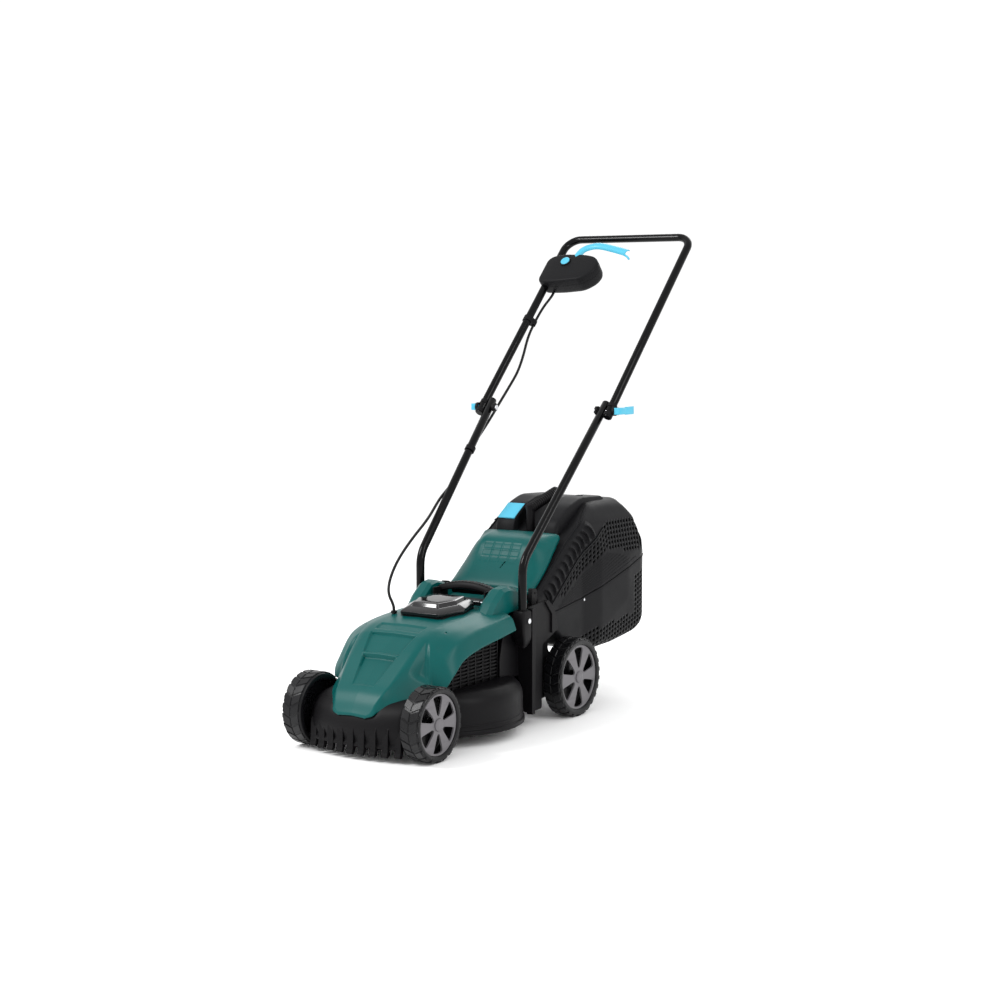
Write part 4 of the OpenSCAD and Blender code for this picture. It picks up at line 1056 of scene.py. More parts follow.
def build_battery_lid():
    """The faceted lid: a wide belt, a band of facets, and a raised top."""
    mid_y, base_z = 236, 265
    tilt = math.radians(5)

    def at(p, more=0.0):
        a = tilt + more
        return Vector((p.x, mid_y + p.y * math.cos(a) - p.z * math.sin(a),
                       base_z + p.y * math.sin(a) + p.z * math.cos(a)))

    def hexagon(front, middle, rear, ahead, behind, z, more=0.0):
        plan = rounded([(-front, -ahead), (front, -ahead), (middle, 2),
                        (rear, behind), (-rear, behind), (-middle, 2)],
                       3.2, 3)
        return [at(Vector((x, y, z)), more) for x, y in plan]

    rings = [hexagon(47, 69, 55, 62, 60, 0.4), hexagon(49, 72, 57, 66, 63, 3),
             hexagon(49, 72.4, 57, 66.5, 63.5, 9),
             hexagon(47.5, 70, 55.5, 63.5, 61.5, 11.6),
             hexagon(40, 60, 50, 52, 56, 16.8),
             hexagon(37.5, 57, 48, 49.5, 54, 17.6),
             hexagon(35.5, 54.5, 46.5, 47, 52.5, 16.9),
             hexagon(34, 52.5, 45, 45, 51, 17.4),
             hexagon(31, 47.5, 41.5, 40.5, 47, 24.4),
             hexagon(29.5, 45.5, 40, 38.5, 45.5, 25.2),
             hexagon(15, 24, 20, 20, 24, 25.6), hexagon(1, 2, 1, 1, 1, 25.7)]
    form = Form().grid(rings, wrap=True, caps=True)
    knuckle = joint_point("battery_lid_open")
    form.tube([knuckle + Vector((x, 0, 0)) for x in (-70, 70)], 4.4, 24)
    dress(form.make("battery_lid_piece"), "polished", "battery_cover",
          ["battery_lid"], angle=24, bevel=0.5 * MM)
    gasket = Form()
    band = [hexagon(45, 66, 53, 60, 57, -3.4), hexagon(47, 68.5, 55, 63, 60, -3.2),
            hexagon(47, 68.5, 55, 63, 60, 0.6), hexagon(45, 66, 53, 60, 57, 0.6)]
    gasket.grid(band + band[:1], wrap=True)
    dress(gasket.make("lid_seal"), "deck", "battery_cover")


def build_carry_grip():
    """The arched grip behind the lid, with its two ends on the shoulders."""
    y_mid = sum(span("carry_handle", 1)) / 2
    half, arch, steps = 74, 13, 24
    rows = []
    for k in range(steps + 1):
        t = k / steps * 2 - 1
        rise = arch * (1 - t * t)
        form_w = 13.5 - 1.5 * t * t
        section = rounded([(-form_w, -8), (form_w - 2, -8), (form_w, -2),
                           (form_w - 5, 8), (-form_w + 4, 8),
                           (-form_w, 0)], 6, 4)
        rows.append([Vector((t * half, y_mid + u, 294 + rise + v))
                     for u, v in section])
    form = Form().grid(rows, wrap=True, caps=True)
    for k in range(-6, 7):
        x = k * 9
        top = 302.4 + arch * (1 - (x / half) ** 2)
        form.block((x - 1.5, y_mid - 9, top - 4), (x + 1.5, y_mid + 8, top))
    dress(form.make("carry_handle_piece"), "deck", "chassis",
          ["carry_handle"], angle=38, bevel=0.5 * MM)
    well = Form()
    well.prism([(322, 268.2), (322, 272), (366, 276.4), (366, 272.6)],
               -68, 68)
    for x in (-69.5, 66.5):
        well.block((x, 318, 268), (x + 3, 372, 300))
    dress(well.make("grip_well"), "deck", "chassis")


# ------------------------------------------------------------------ deck

def build_barrel():
    """The rounded front of the deck between the wheels, with its comb."""
    half_x = span("front_tyre_left", 0)[0] - 3
    half_steps, bulge = 36, 22
    form = Form()
    rows = []
    for i in range(2 * half_steps + 1):
        t = i / half_steps - 1
        x = t * half_x
        bow = -bulge * (1 - t * t)
        end = 1 - step(0.86, 1.0, abs(t)) * 0.1
        seat = step(64, 50, abs(x))
        points = [(92, 25), (60, 23), (-40, 25), (-44, 40), (-48, 60),
                  (-44, 82), (-34, 101 - 3 * seat), (-16, 116), (10, 124),
                  (50, 129), (92, 127.5)]
        profile = smooth_path([Vector((p[0], p[1], 0)) for p in points], 4)
        rows.append([Vector((x, 20 + (p.x - 20) * end + bow
                             * step(70, -20, p.x) * end,
                             75 + (p.y - 75) * end)) for p in profile])
    form.grid(rows, wrap=True, caps=True)
    made = form.make("deck_barrel")
    dress(made, "deck", "chassis", ["deck"], angle=50)
    comb = Form()
    pitch = 27
    for i in range(-4, 5):
        x = i * pitch
        bow = -bulge * (1 - (x / half_x) ** 2)
        outline = rounded([(-40, 74), (-44.5, 70), (-47.5, 60), (-48, 40),
                           (-48.5, 22), (-52.5, 13.5), (-49.5, 10.5),
                           (-43, 14), (-40, 24)], 3, 4)
        outline = [(y + bow, z) for y, z in outline]
        comb.prism(outline, x - 8, x + 8)
        comb.prism([(y - 1.6, z) for y, z in outline if z > 12],
                   x + 5.4, x + 8.4)
    dress(comb.make("deck_comb"), "deck", "chassis", angle=40,
          bevel=0.8 * MM)


def build_skirt():
    """The round blade housing: rolled rim, bulging wall and flat top."""
    profile = rounded([(38, 112), (38, 117), (104, 118), (134, 121),
                       (160, 117), (177, 100), (180, 84), (180, 37),
                       (184, 35.4), (184, 25), (176, 25), (176, 80),
                       (172, 96), (156, 110), (134, 114)], 9, 5)

    def at(p):
        return Vector((p.y, CUTTER.y + p.z, p.x))
    form = Form().lathe(profile, 144, at)
    made = form.make("deck_skirt")
    dress(made, "deck", "chassis", angle=45)
    band = Form().lathe(rounded([(178, 44), (181.4, 45), (181.4, 48),
                                 (178, 49)], 1, 3), 144, at)
    dress(band.make("skirt_bead"), "deck", "chassis")


def build_deck_rear():
    """Side plates, corner panels with their ribs, and the chute."""
    axle = joint_point("rear_left_spin")
    for hand, side in HANDS:
        at = to_side(side)
        form = Form()
        plate = rounded([(305, 114), (388, 112), (388, 40), (485, 46),
                         (551, 62), (563, 90), (549, 118), (501, 150),
                         (496, 199), (434, 270), (385, 258), (325, 236),
                         (305, 160)], 8, 4)
        form.prism(plate, 112, 116, at)
        form.prism(rounded([(422, 252), (440, 260), (446, 278), (444, 297),
                            (426, 299)], 3, 3), 111, 122, at)
        panel = rounded([(380, 33), (434, 33), (437, 176), (479, 192),
                         (495, 200), (479, 250), (449, 272), (380, 264)],
                        7, 4)
        form.prism(panel, 137.5, 142, at)
        form.prism([(379, 30), (391, 30), (394, 262), (379, 262)],
                   138, 152, at)
        form.prism([(379, 33), (388, 33), (392, 256), (379, 256)],
                   115, 139, at)
        form.prism(rounded([(434, 172), (494, 196), (495, 202),
                            (434, 178)], 1, 2), 115, 139, at)
        form.prism(rounded([(470, 196), (495, 201), (480, 252),
                            (452, 274), (444, 268), (470, 240)], 5, 4),
                   136, 146, at)
        form.lathe([(6, 0), (13, 0), (13, 18), (6, 18)], 32,
                   lambda p: at(Vector((104 + p.x, axle.y + p.y,
                                        axle.z + p.z))))
        dress(form.make(f"deck_rear_{hand}"), "deck", "chassis", angle=35,
              bevel=0.9 * MM)
    chute = Form()
    chute.prism([(422, 59), (495, 186), (491, 188), (418, 63)], -112, 112)
    chute.prism([(388, 114), (392, 114), (424, 256), (418, 256)],
                -112, 112)
    dress(chute.make("deck_chute"), "deck", "chassis")


def build_socket(hand, side):
    """A tube socket that tapers to a point, with a round collar at its top."""
    node = f"handle_socket_{hand}"
    form = Form()

    def at(p):
        return Vector((side * (FOOT_X + p.x), FOOT_Y + p.y, p.z))
    rings = []
    for z, half_x, back, front in ((178, 6, -4, 6), (186, 11, -8, 13),
                                   (199, 15, -15, 16), (214, 15.4, -18, 16),
                                   (256, 15.4, -19, 16), (259.6, 14, -17, 14.6)):
        loop = rounded([(-half_x, back), (half_x, back), (half_x, front),
                        (-half_x, front)], 6, 5)
        rings.append([at(Vector((x, y, z))) for x, y in loop])
    form.grid(rings, wrap=True, caps=True)
    form.tube([at(Vector((0, 0, z))) for z in (256, 262)], 12.2, 32)
    dress(form.make(node + "_piece"), "deck", "chassis", [node], angle=35)


# ------------------------------------------------------------- rear flap
FLAP_PROFILE = [(0, -6.4), (-5, 0), (-4, 12), (12, 32), (40, 62), (51, 78),
                (60, 93), (69, 102), (82, 108.4), (102, 112.6), (124, 114.8),
                (138, 115.4)]

# Along the side edge: run from the hinge, then how far back and up
FLAP_SIDE = [(0, 0, -6.4), (20, -3, 2), (46, 14, 12), (87, 49, 39),
             (124, 84, 66), (165, 117, 91), (190, 132, 108),
             (207, 138, 115.4)]


def build_flap():
    """The teal flap: a swept panel with a pressed grid and a small slot."""
    spine = smooth_path([Vector((0, y, z)) for y, z in FLAP_PROFILE], 10)
    lengths = [0.0]
    for a, b in zip(spine, spine[1:]):
        lengths.append(lengths[-1] + (b - a).length)
    keyed = [(s, p.y, p.z) for s, p in zip(lengths, spine)]
    whole = lengths[-1]
    rows = []
    count, across = 130, 112
    for i in range(count + 1):
        s = whole * i / count
        y, z = along(keyed, s)
        y1, z1 = along(keyed, min(whole, s + 1))
        y0, z0 = along(keyed, max(0, s - 1))
        out = Vector((0, -(z1 - z0), y1 - y0)).normalized()
        half = 108.6 - 8 * step(78, whole, s) - max(0, s - whole + 6)
        row = []
        for j in range(across + 1):
            t = j / across * 2 - 1
            x = t * half
            crown = 1.6 * (1 - t * t)
            edge = 1.4 * step(0.93, 1.0, abs(t)) ** 2
            flare = step(62, 22, s) * 5 * step(60, 100, abs(x))
            grid = 0.0
            frame_in = (step(49, 47.6, abs(x)) * step(78, 79.6, s)
                        * step(130, 128.4, s))
            grid += 1.0 * frame_in
            for bar in (-23.5, 0, 23.5):
                grid -= 0.9 * step(2.4, 1.2, abs(x - bar)) * frame_in
            for bar in (95, 112):
                grid -= 0.9 * step(2.4, 1.2, abs(s - bar)) * frame_in
            flank = max(0.0, (abs(x) - 60) / 48) ** 1.5
            side_y, side_z = along(FLAP_SIDE, s * FLAP_SIDE[-1][0] / whole)
            p = Vector((x, HINGE.y + mix(y, side_y, min(flank, 1)),
                        HINGE.z + mix(z, side_z, min(flank, 1))))
            row.append(p + out * (crown - edge + flare * 0.3 - grid))
        rows.append(row)

    def keep(c):
        slot_x = abs(c.x - 18 - (c.z - 341) * 0.35) < 1.4
        return not (slot_x and 334 < c.z < 347)

    form = Form().grid(rows, keep=keep)
    for j in (0, -1):
        edge = [row[j] for row in rows[6:]]
        turned = [p + Vector((0, 5, -8)) for p in edge]
        form.grid([edge, turned])
    made = form.make("rear_flap_piece", outward=(0, -0.5, 1))
    dress(made, "teal", "flap", ["rear_flap"], angle=60, wall=2.4 * MM)
    barrel = Form().tube([HINGE + Vector((x, 0, 0)) for x in (-108, 108)],
                         6.2, 24)
    dress(barrel.make("flap_barrel"), "teal", "flap")
    screws = Form()
    for side in (-1, 1):
        for dy in (-5, 5):
            screws.lathe([(0.01, 0), (2.2, 0), (2.2, 1.6), (1.4, 2.2),
                          (0.01, 2.2)], 20,
                         lambda p: Vector((side * (104 + dy),
                                           HINGE.y - 13.4 - p.x * 0.8,
                                           272 + p.z + dy * 0.1)),
                         closed=False)
    dress(screws.make("hinge_screws"), "nickel", "chassis")


# ------------------------------------------------------------- grass box
RAIL_X = 122
BOX_HALF = span("box_lower", 0)[1]
# Pitch of the mesh, the bar between two columns and the height of a hole
HOLE_ALONG, HOLE_UP = 13.0, 11.0
BAR_ALONG, HOLE_HIGH = HOLE_ALONG * 0.38, HOLE_UP * 0.6
ROOF = [(MOUTH - 62, 262), (MOUTH - 58, 281), (MOUTH + 72, 386),
        (MOUTH + 200, 466), (MOUTH + 236, 470), (BOX_END - 96, 466),
        (BOX_END - 73, 446), (BOX_END - 28, 360), (BOX_END - 5, 312),
        (BOX_END, 246)]
BELLY = [(MOUTH - 62, 260), (MOUTH - 14, 206), (MOUTH - 8, 200),
         (MOUTH + 40, 156), (MOUTH + 182, 122), (MOUTH + 275, 126),
         (BOX_END - 62, 142), (BOX_END - 26, 160), (BOX_END - 5, 188),
         (BOX_END, 236)]
PLAN = [(MOUTH - 90, RAIL_X), (MOUTH + 134, RAIL_X),
        (MOUTH + 200, BOX_HALF - 4), (BOX_END - 110, BOX_HALF),
        (BOX_END - 44, BOX_HALF - 4), (BOX_END - 24, BOX_HALF - 11),
        (BOX_END - 10, BOX_HALF - 21), (BOX_END - 3, BOX_HALF - 34),
        (BOX_END, BOX_HALF - 48)]
FRONT = [(100, BOX_HALF - 34), (146, BOX_HALF - 6), (230, BOX_HALF),
         (330, BOX_HALF), (420, RAIL_X + 2), (462, RAIL_X - 22),
         (480, RAIL_X - 46)]
SEAM = [(MOUTH - 60, 226), (MOUTH + 130, 252), (BOX_END + 20, 340)]
RAIL = [(MOUTH - 57, 281), (MOUTH + 72, 386), (MOUTH + 199, 463)]
# The second rail's distance from the first, square to their slope
RAIL_DROP = 58
RAIL_SLOPE = math.radians(38)
RAIL_BACK = RAIL_DROP * math.sin(RAIL_SLOPE)
RAIL_DOWN = RAIL_DROP * math.cos(RAIL_SLOPE)
# Where the mesh of each shell starts, and the two catches on the seam
UPPER_MESH_Y, UPPER_MESH_RUN = 530, 270
LOWER_MESH_Y, LOWER_MESH_RUN = 636, 240
CATCH_Y, CATCH_Z = 644, 248


def box_half(y, z):
    """Half-width of the box at a place, rounded along roof and belly."""
    w = min(along(PLAN, y)[0], along(FRONT, z)[0])
    top, bottom = along(ROOF, y)[0], along(BELLY, y)[0]
    middle, half = (top + bottom) / 2, max((top - bottom) / 2, 1)
    r = min(22, half)
    over = max(0.0, abs(z - middle) - (half - r))
    return w - r + math.sqrt(max(0.0, r * r - over * over))


def box_stations():
    """Lines along the box that fall on both edges of each column of holes."""
    made, y = [MOUTH - 62], MOUTH - 58
    while y < BOX_END - 2:
        made += [y, y + BAR_ALONG]
        y += HOLE_ALONG
    return made + [BOX_END - 1.0]


def upper_hole(y, fall, z):
    """True where the upper shell has a hole; fall is measured from a rail."""
    if (y - MOUTH + 58) % HOLE_ALONG < BAR_ALONG:
        return False
    if fall % HOLE_UP > HOLE_HIGH or fall < 3:
        return False
    share = (y - UPPER_MESH_Y) / UPPER_MESH_RUN
    reach = 22 + 48 * share
    above = along(ROOF, y)[0] - 8 > z > along(SEAM, y)[0] + 24
    return 0 < share and y < BOX_END - 40 and fall < reach and above


def lower_hole(y, fall, z):
    """True where the lower shell has a hole; fall is from the seam."""
    if (y - MOUTH + 58) % HOLE_ALONG < BAR_ALONG:
        return False
    if fall % HOLE_UP > HOLE_HIGH:
        return False
    belly = along(BELLY, y)[0]
    band = z < mix(170, 196, (y - LOWER_MESH_Y) / LOWER_MESH_RUN)
    rear = y > BOX_END - 75 and fall > 30
    return (LOWER_MESH_Y - 8 < y < BOX_END - 12 and z > belly + 10
            and (band or rear))


def lower_rail(y):
    """Height of the second rail, which runs below the first one."""
    return along(RAIL, y - RAIL_BACK)[0] - RAIL_DOWN


def hole_edges(depth):
    """How far down both edges of each row of holes lie."""
    made, fall = [], 0.0
    while fall < depth:
        made += [fall, fall + HOLE_HIGH]
        fall += HOLE_UP
    return made


def shell_rows(upper):
    """Sections of one shell, each a line of points across the box."""
    rows = []
    for y in box_stations():
        top, bottom = along(ROOF, y)[0], along(BELLY, y)[0]
        parting = min(max(along(SEAM, y)[0], bottom + 1), top - 1)
        half = []
        if upper:
            start = min(max(lower_rail(y), parting + 1), top)
            falls = hole_edges(250)
            levels = [max(start - f, parting + 0.5) for f in falls[::-1]]
            levels += [mix(start, top, k / 9) for k in range(1, 9)]
            levels += [top - g for g in (5, 2.5, 1, 0.3)] + [top]
            for z in levels:
                z = min(max(z, parting + 0.5), top)
                half.append(Vector((box_half(y, z), y, z)))
            edge = half[-1].x
            half += [Vector((edge * s, y, top)) for s in (0.8, 0.55, 0.28)]
            mid = [Vector((0, y, top))]
        else:
            falls = hole_edges(190)
            levels = [max(parting - 0.5 - f, bottom) for f in falls]
            levels += [bottom]
            for z in levels:
                half.append(Vector((box_half(y, z), y, z)))
            edge = half[-1].x
            half += [Vector((edge * s, y, bottom)) for s in (0.7, 0.35)]
            mid = [Vector((0, y, bottom))]
        other = [Vector((-p.x, p.y, p.z)) for p in reversed(half)]
        rows.append(half + mid + other)
    return rows


def build_box_shells():
    """Two shells of the box that meet at a slanting seam, with their mesh."""
    def open_front(c):
        return c.y < MOUTH + 4 and c.z < 276 and abs(c.x) < RAIL_X - 14

    def keep_upper(c):
        fall = lower_rail(c.y) - c.z
        return not (open_front(c) or abs(c.x) > 60 and fall > 0
                    and upper_hole(c.y, fall, c.z))

    def keep_lower(c):
        fall = along(SEAM, c.y)[0] - 0.5 - c.z
        return not (open_front(c) or abs(c.x) > 60
                    and lower_hole(c.y, fall, c.z))

    for upper, name, keep in ((True, "box_upper", keep_upper),
                              (False, "box_lower", keep_lower)):
        rows = shell_rows(upper)
        form = Form().grid(rows, keep=keep)
        last = rows[-1]
        back = [Vector((p.x, BOX_END, p.z)) for p in last]
        form.grid([last, back])
        form.add(back, [list(range(len(back)))])
        up = (0, 0, 1) if upper else (0, 0, -1)
        made = form.make(name + "_piece", outward=up)
        dress(made, "box", "grass_box", [name], angle=32, wall=2.2 * MM,
              even=False)


def build_box_rails():
    """Side rails, fine ribs and the seam's lip."""
    form = Form()
    for side in (-1, 1):
        for dy, dz, wide in ((0, 0, 5.6), (RAIL_BACK, RAIL_DOWN, 3.4)):
            path = []
            for k in range(21):
                y = mix(RAIL[0][0] + 2, RAIL[-1][0] - dy * 0.5, k / 20)
                z = along(RAIL, y)[0] - dz
                if z < along(SEAM, y + dy)[0] + 4:
                    continue
                top = along(ROOF, y + dy)[0]
                z = min(z, top - 3)
                path.append(Vector((side * (box_half(y + dy, z) + 0.3),
                                    y + dy, z)))
            form.sweep(path, [(-wide / 2, -1.6), (wide / 2, -1.6),
                              (wide / 2, 0.9), (wide / 4, 1.8),
                              (-wide / 4, 1.8), (-wide / 2, 0.9)])
        for k in range(13):
            drop = 12 + 10 * k
            path = []
            for i in range(25):
                y = mix(MOUTH + 30, BOX_END - 60, i / 24)
                z = along(SEAM, y)[0] + drop * (0.35 + 0.65 * i / 24)
                if z > lower_rail(y) - 6 or upper_hole_near(y, z):
                    continue
                path.append(Vector((side * (box_half(y, z) + 0.1), y, z)))
            if len(path) > 2:
                form.sweep(path, [(-0.7, -0.6), (0.7, -0.6), (0, 0.7)])
        lip = []
        for k in range(49):
            y = mix(MOUTH - 30, BOX_END - 14, k / 48)
            z = along(SEAM, y)[0] - 2.6
            lip.append(Vector((side * (box_half(y, z) + 0.2), y, z)))
        form.sweep(lip, [(-1.5, -1), (1.5, -1), (1.5, 0.8), (-1.5, 0.8)])
    dress(form.make("box_rails"), "box", "grass_box", angle=30)


def upper_hole_near(y, z):
    """True in and just round the mesh of the upper shell."""
    fall = lower_rail(y) - z
    share = (y - UPPER_MESH_Y + 10) / (UPPER_MESH_RUN + 10)
    return share > 0 and fall < 26 + 52 * share


def build_louvres():
    """Curved louvres that overlap down the band between the two rails."""
    form = Form()
    count, steps = 11, 14
    for side in (-1, 1):
        rows = []
        for i in range(count * steps + 1):
            s = i / steps
            row = []
            for k in range(19):
                t = k / 18
                bow = 0.42 * (1 - (2 * t - 1) ** 2)
                phase = (s - bow) % 1.0
                ends = step(0, 0.12, t) * step(1, 0.88, t)
                lift = 7.5 * (1 - phase) ** 1.5 * ends * step(0, 0.1, phase)
                y = mix(MOUTH - 40, MOUTH + 150, s / count)
                z = along(RAIL, y)[0]
                share = mix(0.11, 0.9, t)
                py, pz = y + RAIL_BACK * share, z - RAIL_DOWN * share
                pz = min(pz, along(ROOF, py)[0] - 2)
                row.append(Vector((side * (box_half(py, pz) + 0.5 + lift),
                                   py, pz)))
            rows.append(row)
        form.grid(rows)
    dress(form.make("box_louvres"), "box", "grass_box", angle=25)


def build_crown():
    """The raised roof panels on both sides of the grip, and its slot."""
    form = Form()
    outline = rounded([(MOUTH + 76, 384), (MOUTH + 86, 428),
                       (MOUTH + 138, 462), (MOUTH + 190, 477.5),
                       (MOUTH + 284, 474), (MOUTH + 300, 462),
                       (MOUTH + 194, 452), (MOUTH + 110, 400)], 16, 5)
    for side in (-1, 1):
        at = to_side(side)
        rows = []
        mid = Vector((MOUTH + 190, 444))
        for x, grow in ((33, 0.95), (34.4, 0.99), (36, 1.0), (74, 1.0),
                        (80, 0.99), (83, 0.965), (84, 0.93)):
            rows.append([at(Vector((x, mid.x + (p[0] - mid.x) * grow,
                                    mid.y + (p[1] - mid.y) * grow)))
                         for p in outline])
        form.grid(rows, wrap=True, caps=True)
    dress(form.make("box_crown"), "box", "grass_box", angle=35)
    slot = Form()
    slot.plate(rounded([(49, MOUTH + 219), (61, MOUTH + 219),
                        (61, MOUTH + 234), (49, MOUTH + 234)], 2, 4),
               474, 477.9)
    dress(slot.make("crown_slot"), "deck", "grass_box")
    dot = Form()
    out = box_half(CATCH_Y, CATCH_Z) + 0.8
    for side in (-1, 1):
        dot.lathe([(0.01, 0), (3.2, 0), (3.2, 1.4), (2.2, 2), (0.01, 2)], 24,
                  lambda p: Vector((side * (out + p.x), CATCH_Y + p.y,
                                    CATCH_Z + p.z)), closed=False)
    dress(dot.make("seam_catches"), "nickel", "grass_box", ["box_snaps"])


def build_box_grip():
    """The corrugated round grip on its two posts."""
    start = Vector((0, MOUTH + 96, 453))
    length, lean = 122, math.radians(75)
    ahead = Vector((0, math.sin(lean), math.cos(lean)))
    path = [start + ahead * k for k in range(length + 1)]

    def size(share):
        ripple = 1.3 * math.cos(share * length / 8 * 2 * math.pi)
        end = step(0, 0.02, share) * step(1, 0.98, share)
        return (11.5 + ripple) * (0.75 + 0.25 * end)

    form = Form().tube(path, size, 28)
    form.tube([Vector((0, MOUTH + 102, z)) for z in (402, 430, 456, 461)],
              9.8, 28)
    form.tube([Vector((0, MOUTH + 214, z)) for z in (464, 474, 483)], 9.8, 28)
    dress(form.make("box_grip_piece"), "deck", "grass_box", ["box_grip"],
          angle=60)


# ------------------------------------------------ pieces kept from the CAD
KEPT = {
    "black_moulding": "deck", "teal_moulding": "teal",
    "smoked_lid": "polished", "grey_trim": "trim", "wheel_rubber": "tyre",
    "zinc_steel": "zinc", "chrome_steel": "nickel", "black_enamel": "tube",
    "blue_moulding": "accent", "cable_sheath": "cable",
    "blade_steel": "ground", "motor_paint": "enamel",
}


def finish_kept_nodes():
    """Gives each node that still shows the finish its record slot names."""
    for part in frame["record"]["subparts"]:
        node = frame["nodes"][part["node"]]
        if node.hide_render:
            continue
        finish = finish_of(KEPT[part["material_slot"]])
        if not node.material_slots:
            node.data.materials.append(finish)
        for kept in node.material_slots:
            kept.material = finish


# ----------------------------------------------------------------- stage

CAMERA_PLACE = Vector((2.3653, -3.591, 0.9001))
CAMERA_TARGET = Vector((0, -0.0144, 0.4835))
CAMERA_LENS = 69.1
FLOOR_HALF = 60


def studio_floor(base):
    """Painted studio floor, rolled: matt, with a barely uneven sheen."""
    return surface("floor_painted_rolled", base, 0.7, 0.01, 8 * MM,
                   0.02 * MM, IOR=1.45)


def area_light(name, place, target, size, watts):
    """A large soft lamp that faces a point."""
    data = bpy.data.lights.new(name, "AREA")
    data.shape = "RECTANGLE"
    data.size, data.size_y = size
    data.energy = watts
    lamp = bpy.data.objects.new(name, data)
    bpy.context.scene.collection.objects.link(lamp)
    lamp.location = place
    aim = Vector(target) - Vector(place)
    lamp.rotation_euler = aim.to_track_quat("-Z", "Y").to_euler()
    return lamp


def build_stage():
    """Camera, pale floor, white surroundings and three soft lamps."""
    scene = bpy.context.scene
    data = bpy.data.cameras.new("camera")
    data.sensor_width = 36
    data.lens = CAMERA_LENS
    camera = bpy.data.objects.new("camera", data)
    scene.collection.objects.link(camera)
    aim = CAMERA_TARGET - CAMERA_PLACE
    camera.location = CAMERA_PLACE
    camera.rotation_euler = aim.to_track_quat("-Z", "Y").to_euler()
    scene.camera = camera
    mesh = bpy.data.meshes.new("floor")
    corners = ((-1, -1), (1, -1), (1, 1), (-1, 1))
    mesh.from_pydata([(FLOOR_HALF * x, FLOOR_HALF * y, 0) for x, y in corners],
                     [], [(0, 1, 2, 3)])
    floor = bpy.data.objects.new("floor", mesh)
    scene.collection.objects.link(floor)
    mesh.materials.append(studio_floor(scene.mower_colours.floor))
    world = bpy.data.worlds.new("studio")
    scene.world = world
    world.use_nodes = True
    world.node_tree.nodes.clear()
    glow = add_node(world.node_tree, "ShaderNodeBackground",
                    {"Color": (1, 1, 1, 1), "Strength": 1.06})
    add_node(world.node_tree, "ShaderNodeOutputWorld", {},
             {"Surface": (glow, "Background")})
    area_light("key_lamp", (-1.6, -2.2, 2.6), (0, 0, 0.4), (0.6, 1.4), 80)
    area_light("side_lamp", (2.6, -0.6, 2.0), (0, 0.1, 0.4), (0.3, 2.4), 32)
    area_light("back_lamp", (-0.6, 2.6, 2.4), (0, 0, 0.5), (2.0, 1.2), 30)
    scene.view_settings.view_transform = "Standard"


# ------------------------------------------------------------- operators

def each_side(build):
    """Builds a piece on the right and on the left."""
    for hand, side in HANDS:
        build(hand, side)


def each_wheel(build):
    """Builds a piece at each of the four wheels."""
    for end in ("front", "rear"):
        for hand, side in HANDS:
            build(end, hand, side)


class MOWER_OT_stage(bpy.types.Operator):
    """Set up the camera, the floor and the lamps"""
    bl_idname = "mower.stage"
    bl_label = "Stage"

    def execute(self, context):
        build_stage()
        return {"FINISHED"}


class MOWER_OT_cable(bpy.types.Operator):
    """Run the switch cable along the handle and into the hood"""
    bl_idname = "mower.cable"
    bl_label = "Cable"

    def execute(self, context):
        build_cable()
        return {"FINISHED"}


class MOWER_OT_wheels(bpy.types.Operator):
    """Build the four tyres with their trims and caps"""
    bl_idname = "mower.wheels"
    bl_label = "Wheels"

    def execute(self, context):
        each_wheel(build_tyre)
        each_wheel(build_hub)
        each_wheel(build_cap)
        return {"FINISHED"}


class MOWER_OT_hood(bpy.types.Operator):
    """Build the hood, its shoulders and its side grilles"""
    bl_idname = "mower.hood"
    bl_label = "Hood"

    def execute(self, context):
        build_hood()
        build_hood_rear()
        each_side(build_vent)
        return {"FINISHED"}


class MOWER_OT_battery_lid(bpy.types.Operator):
    """Build the faceted battery lid"""
    bl_idname = "mower.battery_lid"
    bl_label = "Battery Lid"

    def execute(self, context):
        build_battery_lid()
        return {"FINISHED"}


class MOWER_OT_carry_grip(bpy.types.Operator):
    """Build the carrying grip behind the lid"""
    bl_idname = "mower.carry_grip"
    bl_label = "Carry Grip"

    def execute(self, context):
        build_carry_grip()
        return {"FINISHED"}


class MOWER_OT_deck(bpy.types.Operator):
    """Build the deck: front barrel, comb, blade housing and rear panels"""
    bl_idname = "mower.deck"
    bl_label = "Deck"

    def execute(self, context):
        build_barrel()
        build_skirt()
        build_deck_rear()
        each_side(build_socket)
        return {"FINISHED"}


class MOWER_OT_rear_flap(bpy.types.Operator):
    """Build the rear flap over the mouth of the grass box"""
    bl_idname = "mower.rear_flap"
    bl_label = "Rear Flap"

    def execute(self, context):
        build_flap()
        return {"FINISHED"}


class MOWER_OT_grass_box(bpy.types.Operator):
    """Build the grass box with its mesh, rails, louvres and grip"""
    bl_idname = "mower.grass_box"
    bl_label = "Grass Box"

    def execute(self, context):
        build_box_shells()
        build_box_rails()
        build_louvres()
        build_crown()
        build_box_grip()
        return {"FINISHED"}


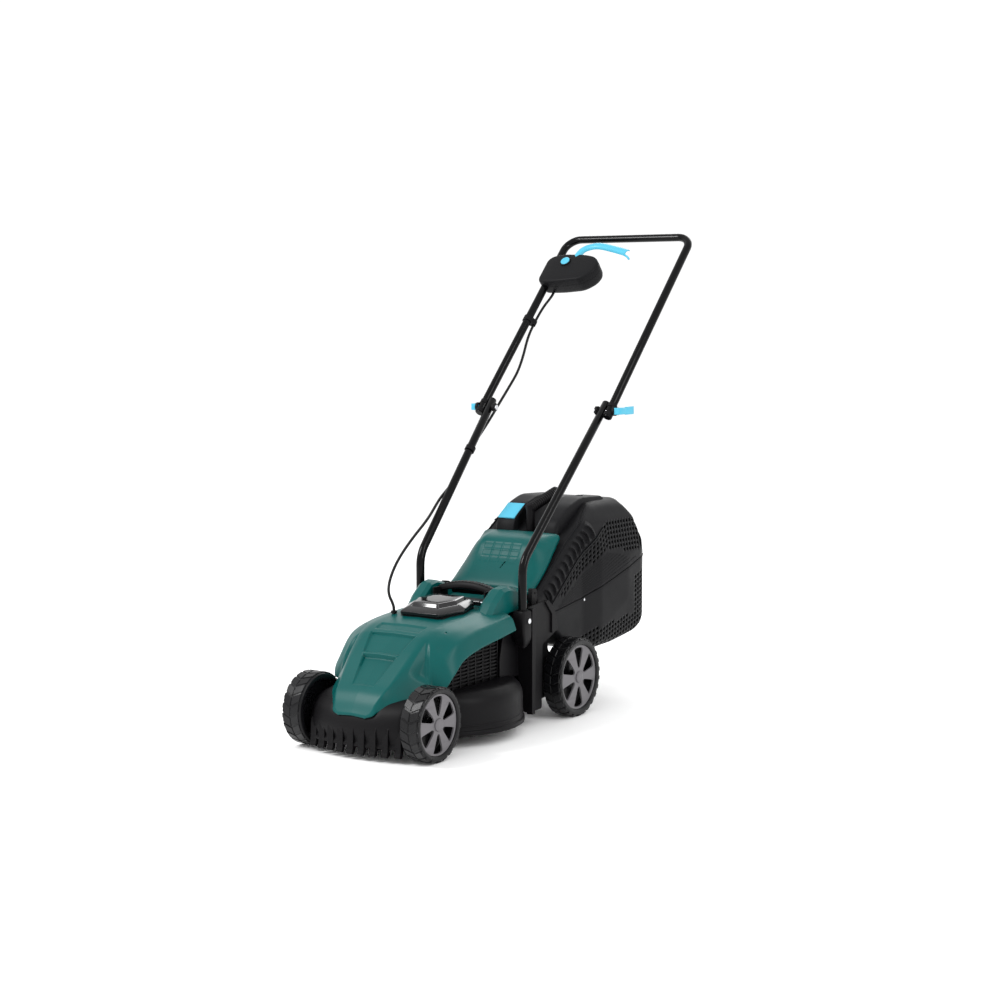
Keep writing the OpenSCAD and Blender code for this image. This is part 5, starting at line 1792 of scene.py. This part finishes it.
class MOWER_OT_handle(bpy.types.Operator):
    """Build the handle tubes, the fold joints and their cam levers"""
    bl_idname = "mower.handle"
    bl_label = "Handle"

    def execute(self, context):
        build_tubes()
        build_fold_joints()
        each_side(build_cam_lever)
        return {"FINISHED"}


class MOWER_OT_switch(bpy.types.Operator):
    """Build the switch box, its button and the bail lever"""
    bl_idname = "mower.switch"
    bl_label = "Switch Box"

    def execute(self, context):
        build_switch_case()
        build_button()
        build_bail()
        return {"FINISHED"}


class MOWER_OT_kept(bpy.types.Operator):
    """Give the pieces that are kept from the CAD model their finishes"""
    bl_idname = "mower.kept"
    bl_label = "Finish Kept Pieces"

    def execute(self, context):
        finish_kept_nodes()
        return {"FINISHED"}


STEPS = (MOWER_OT_stage, MOWER_OT_cable, MOWER_OT_wheels, MOWER_OT_hood,
         MOWER_OT_battery_lid, MOWER_OT_carry_grip, MOWER_OT_deck,
         MOWER_OT_rear_flap, MOWER_OT_grass_box, MOWER_OT_handle,
         MOWER_OT_switch, MOWER_OT_kept)


class MOWER_PT_panel(bpy.types.Panel):
    """The mower's sizes and colours, and a button for each step"""
    bl_idname = "MOWER_PT_panel"
    bl_label = "Mower"
    bl_space_type = "VIEW_3D"
    bl_region_type = "UI"
    bl_category = "Mower"

    def draw(self, context):
        for group in (context.scene.mower_sizes, context.scene.mower_colours):
            for name in group.__annotations__:
                self.layout.prop(group, name)
        for step_class in STEPS:
            self.layout.operator(step_class.bl_idname)


CLASSES = (MowerSizes, MowerColours) + STEPS + (MOWER_PT_panel,)


def register():
    """Adds the classes, and the sizes and colours of a scene."""
    for each in CLASSES:
        bpy.utils.register_class(each)
    bpy.types.Scene.mower_sizes = PointerProperty(type=MowerSizes)
    bpy.types.Scene.mower_colours = PointerProperty(type=MowerColours)


def unregister():
    """Takes away what register added."""
    del bpy.types.Scene.mower_colours
    del bpy.types.Scene.mower_sizes
    for each in reversed(CLASSES):
        bpy.utils.unregister_class(each)


def main():
    """Builds every piece in order."""
    register()
    for step_class in STEPS:
        group, name = step_class.bl_idname.split(".")
        getattr(getattr(bpy.ops, group), name)()


if __name__ == "__main__":
    main()
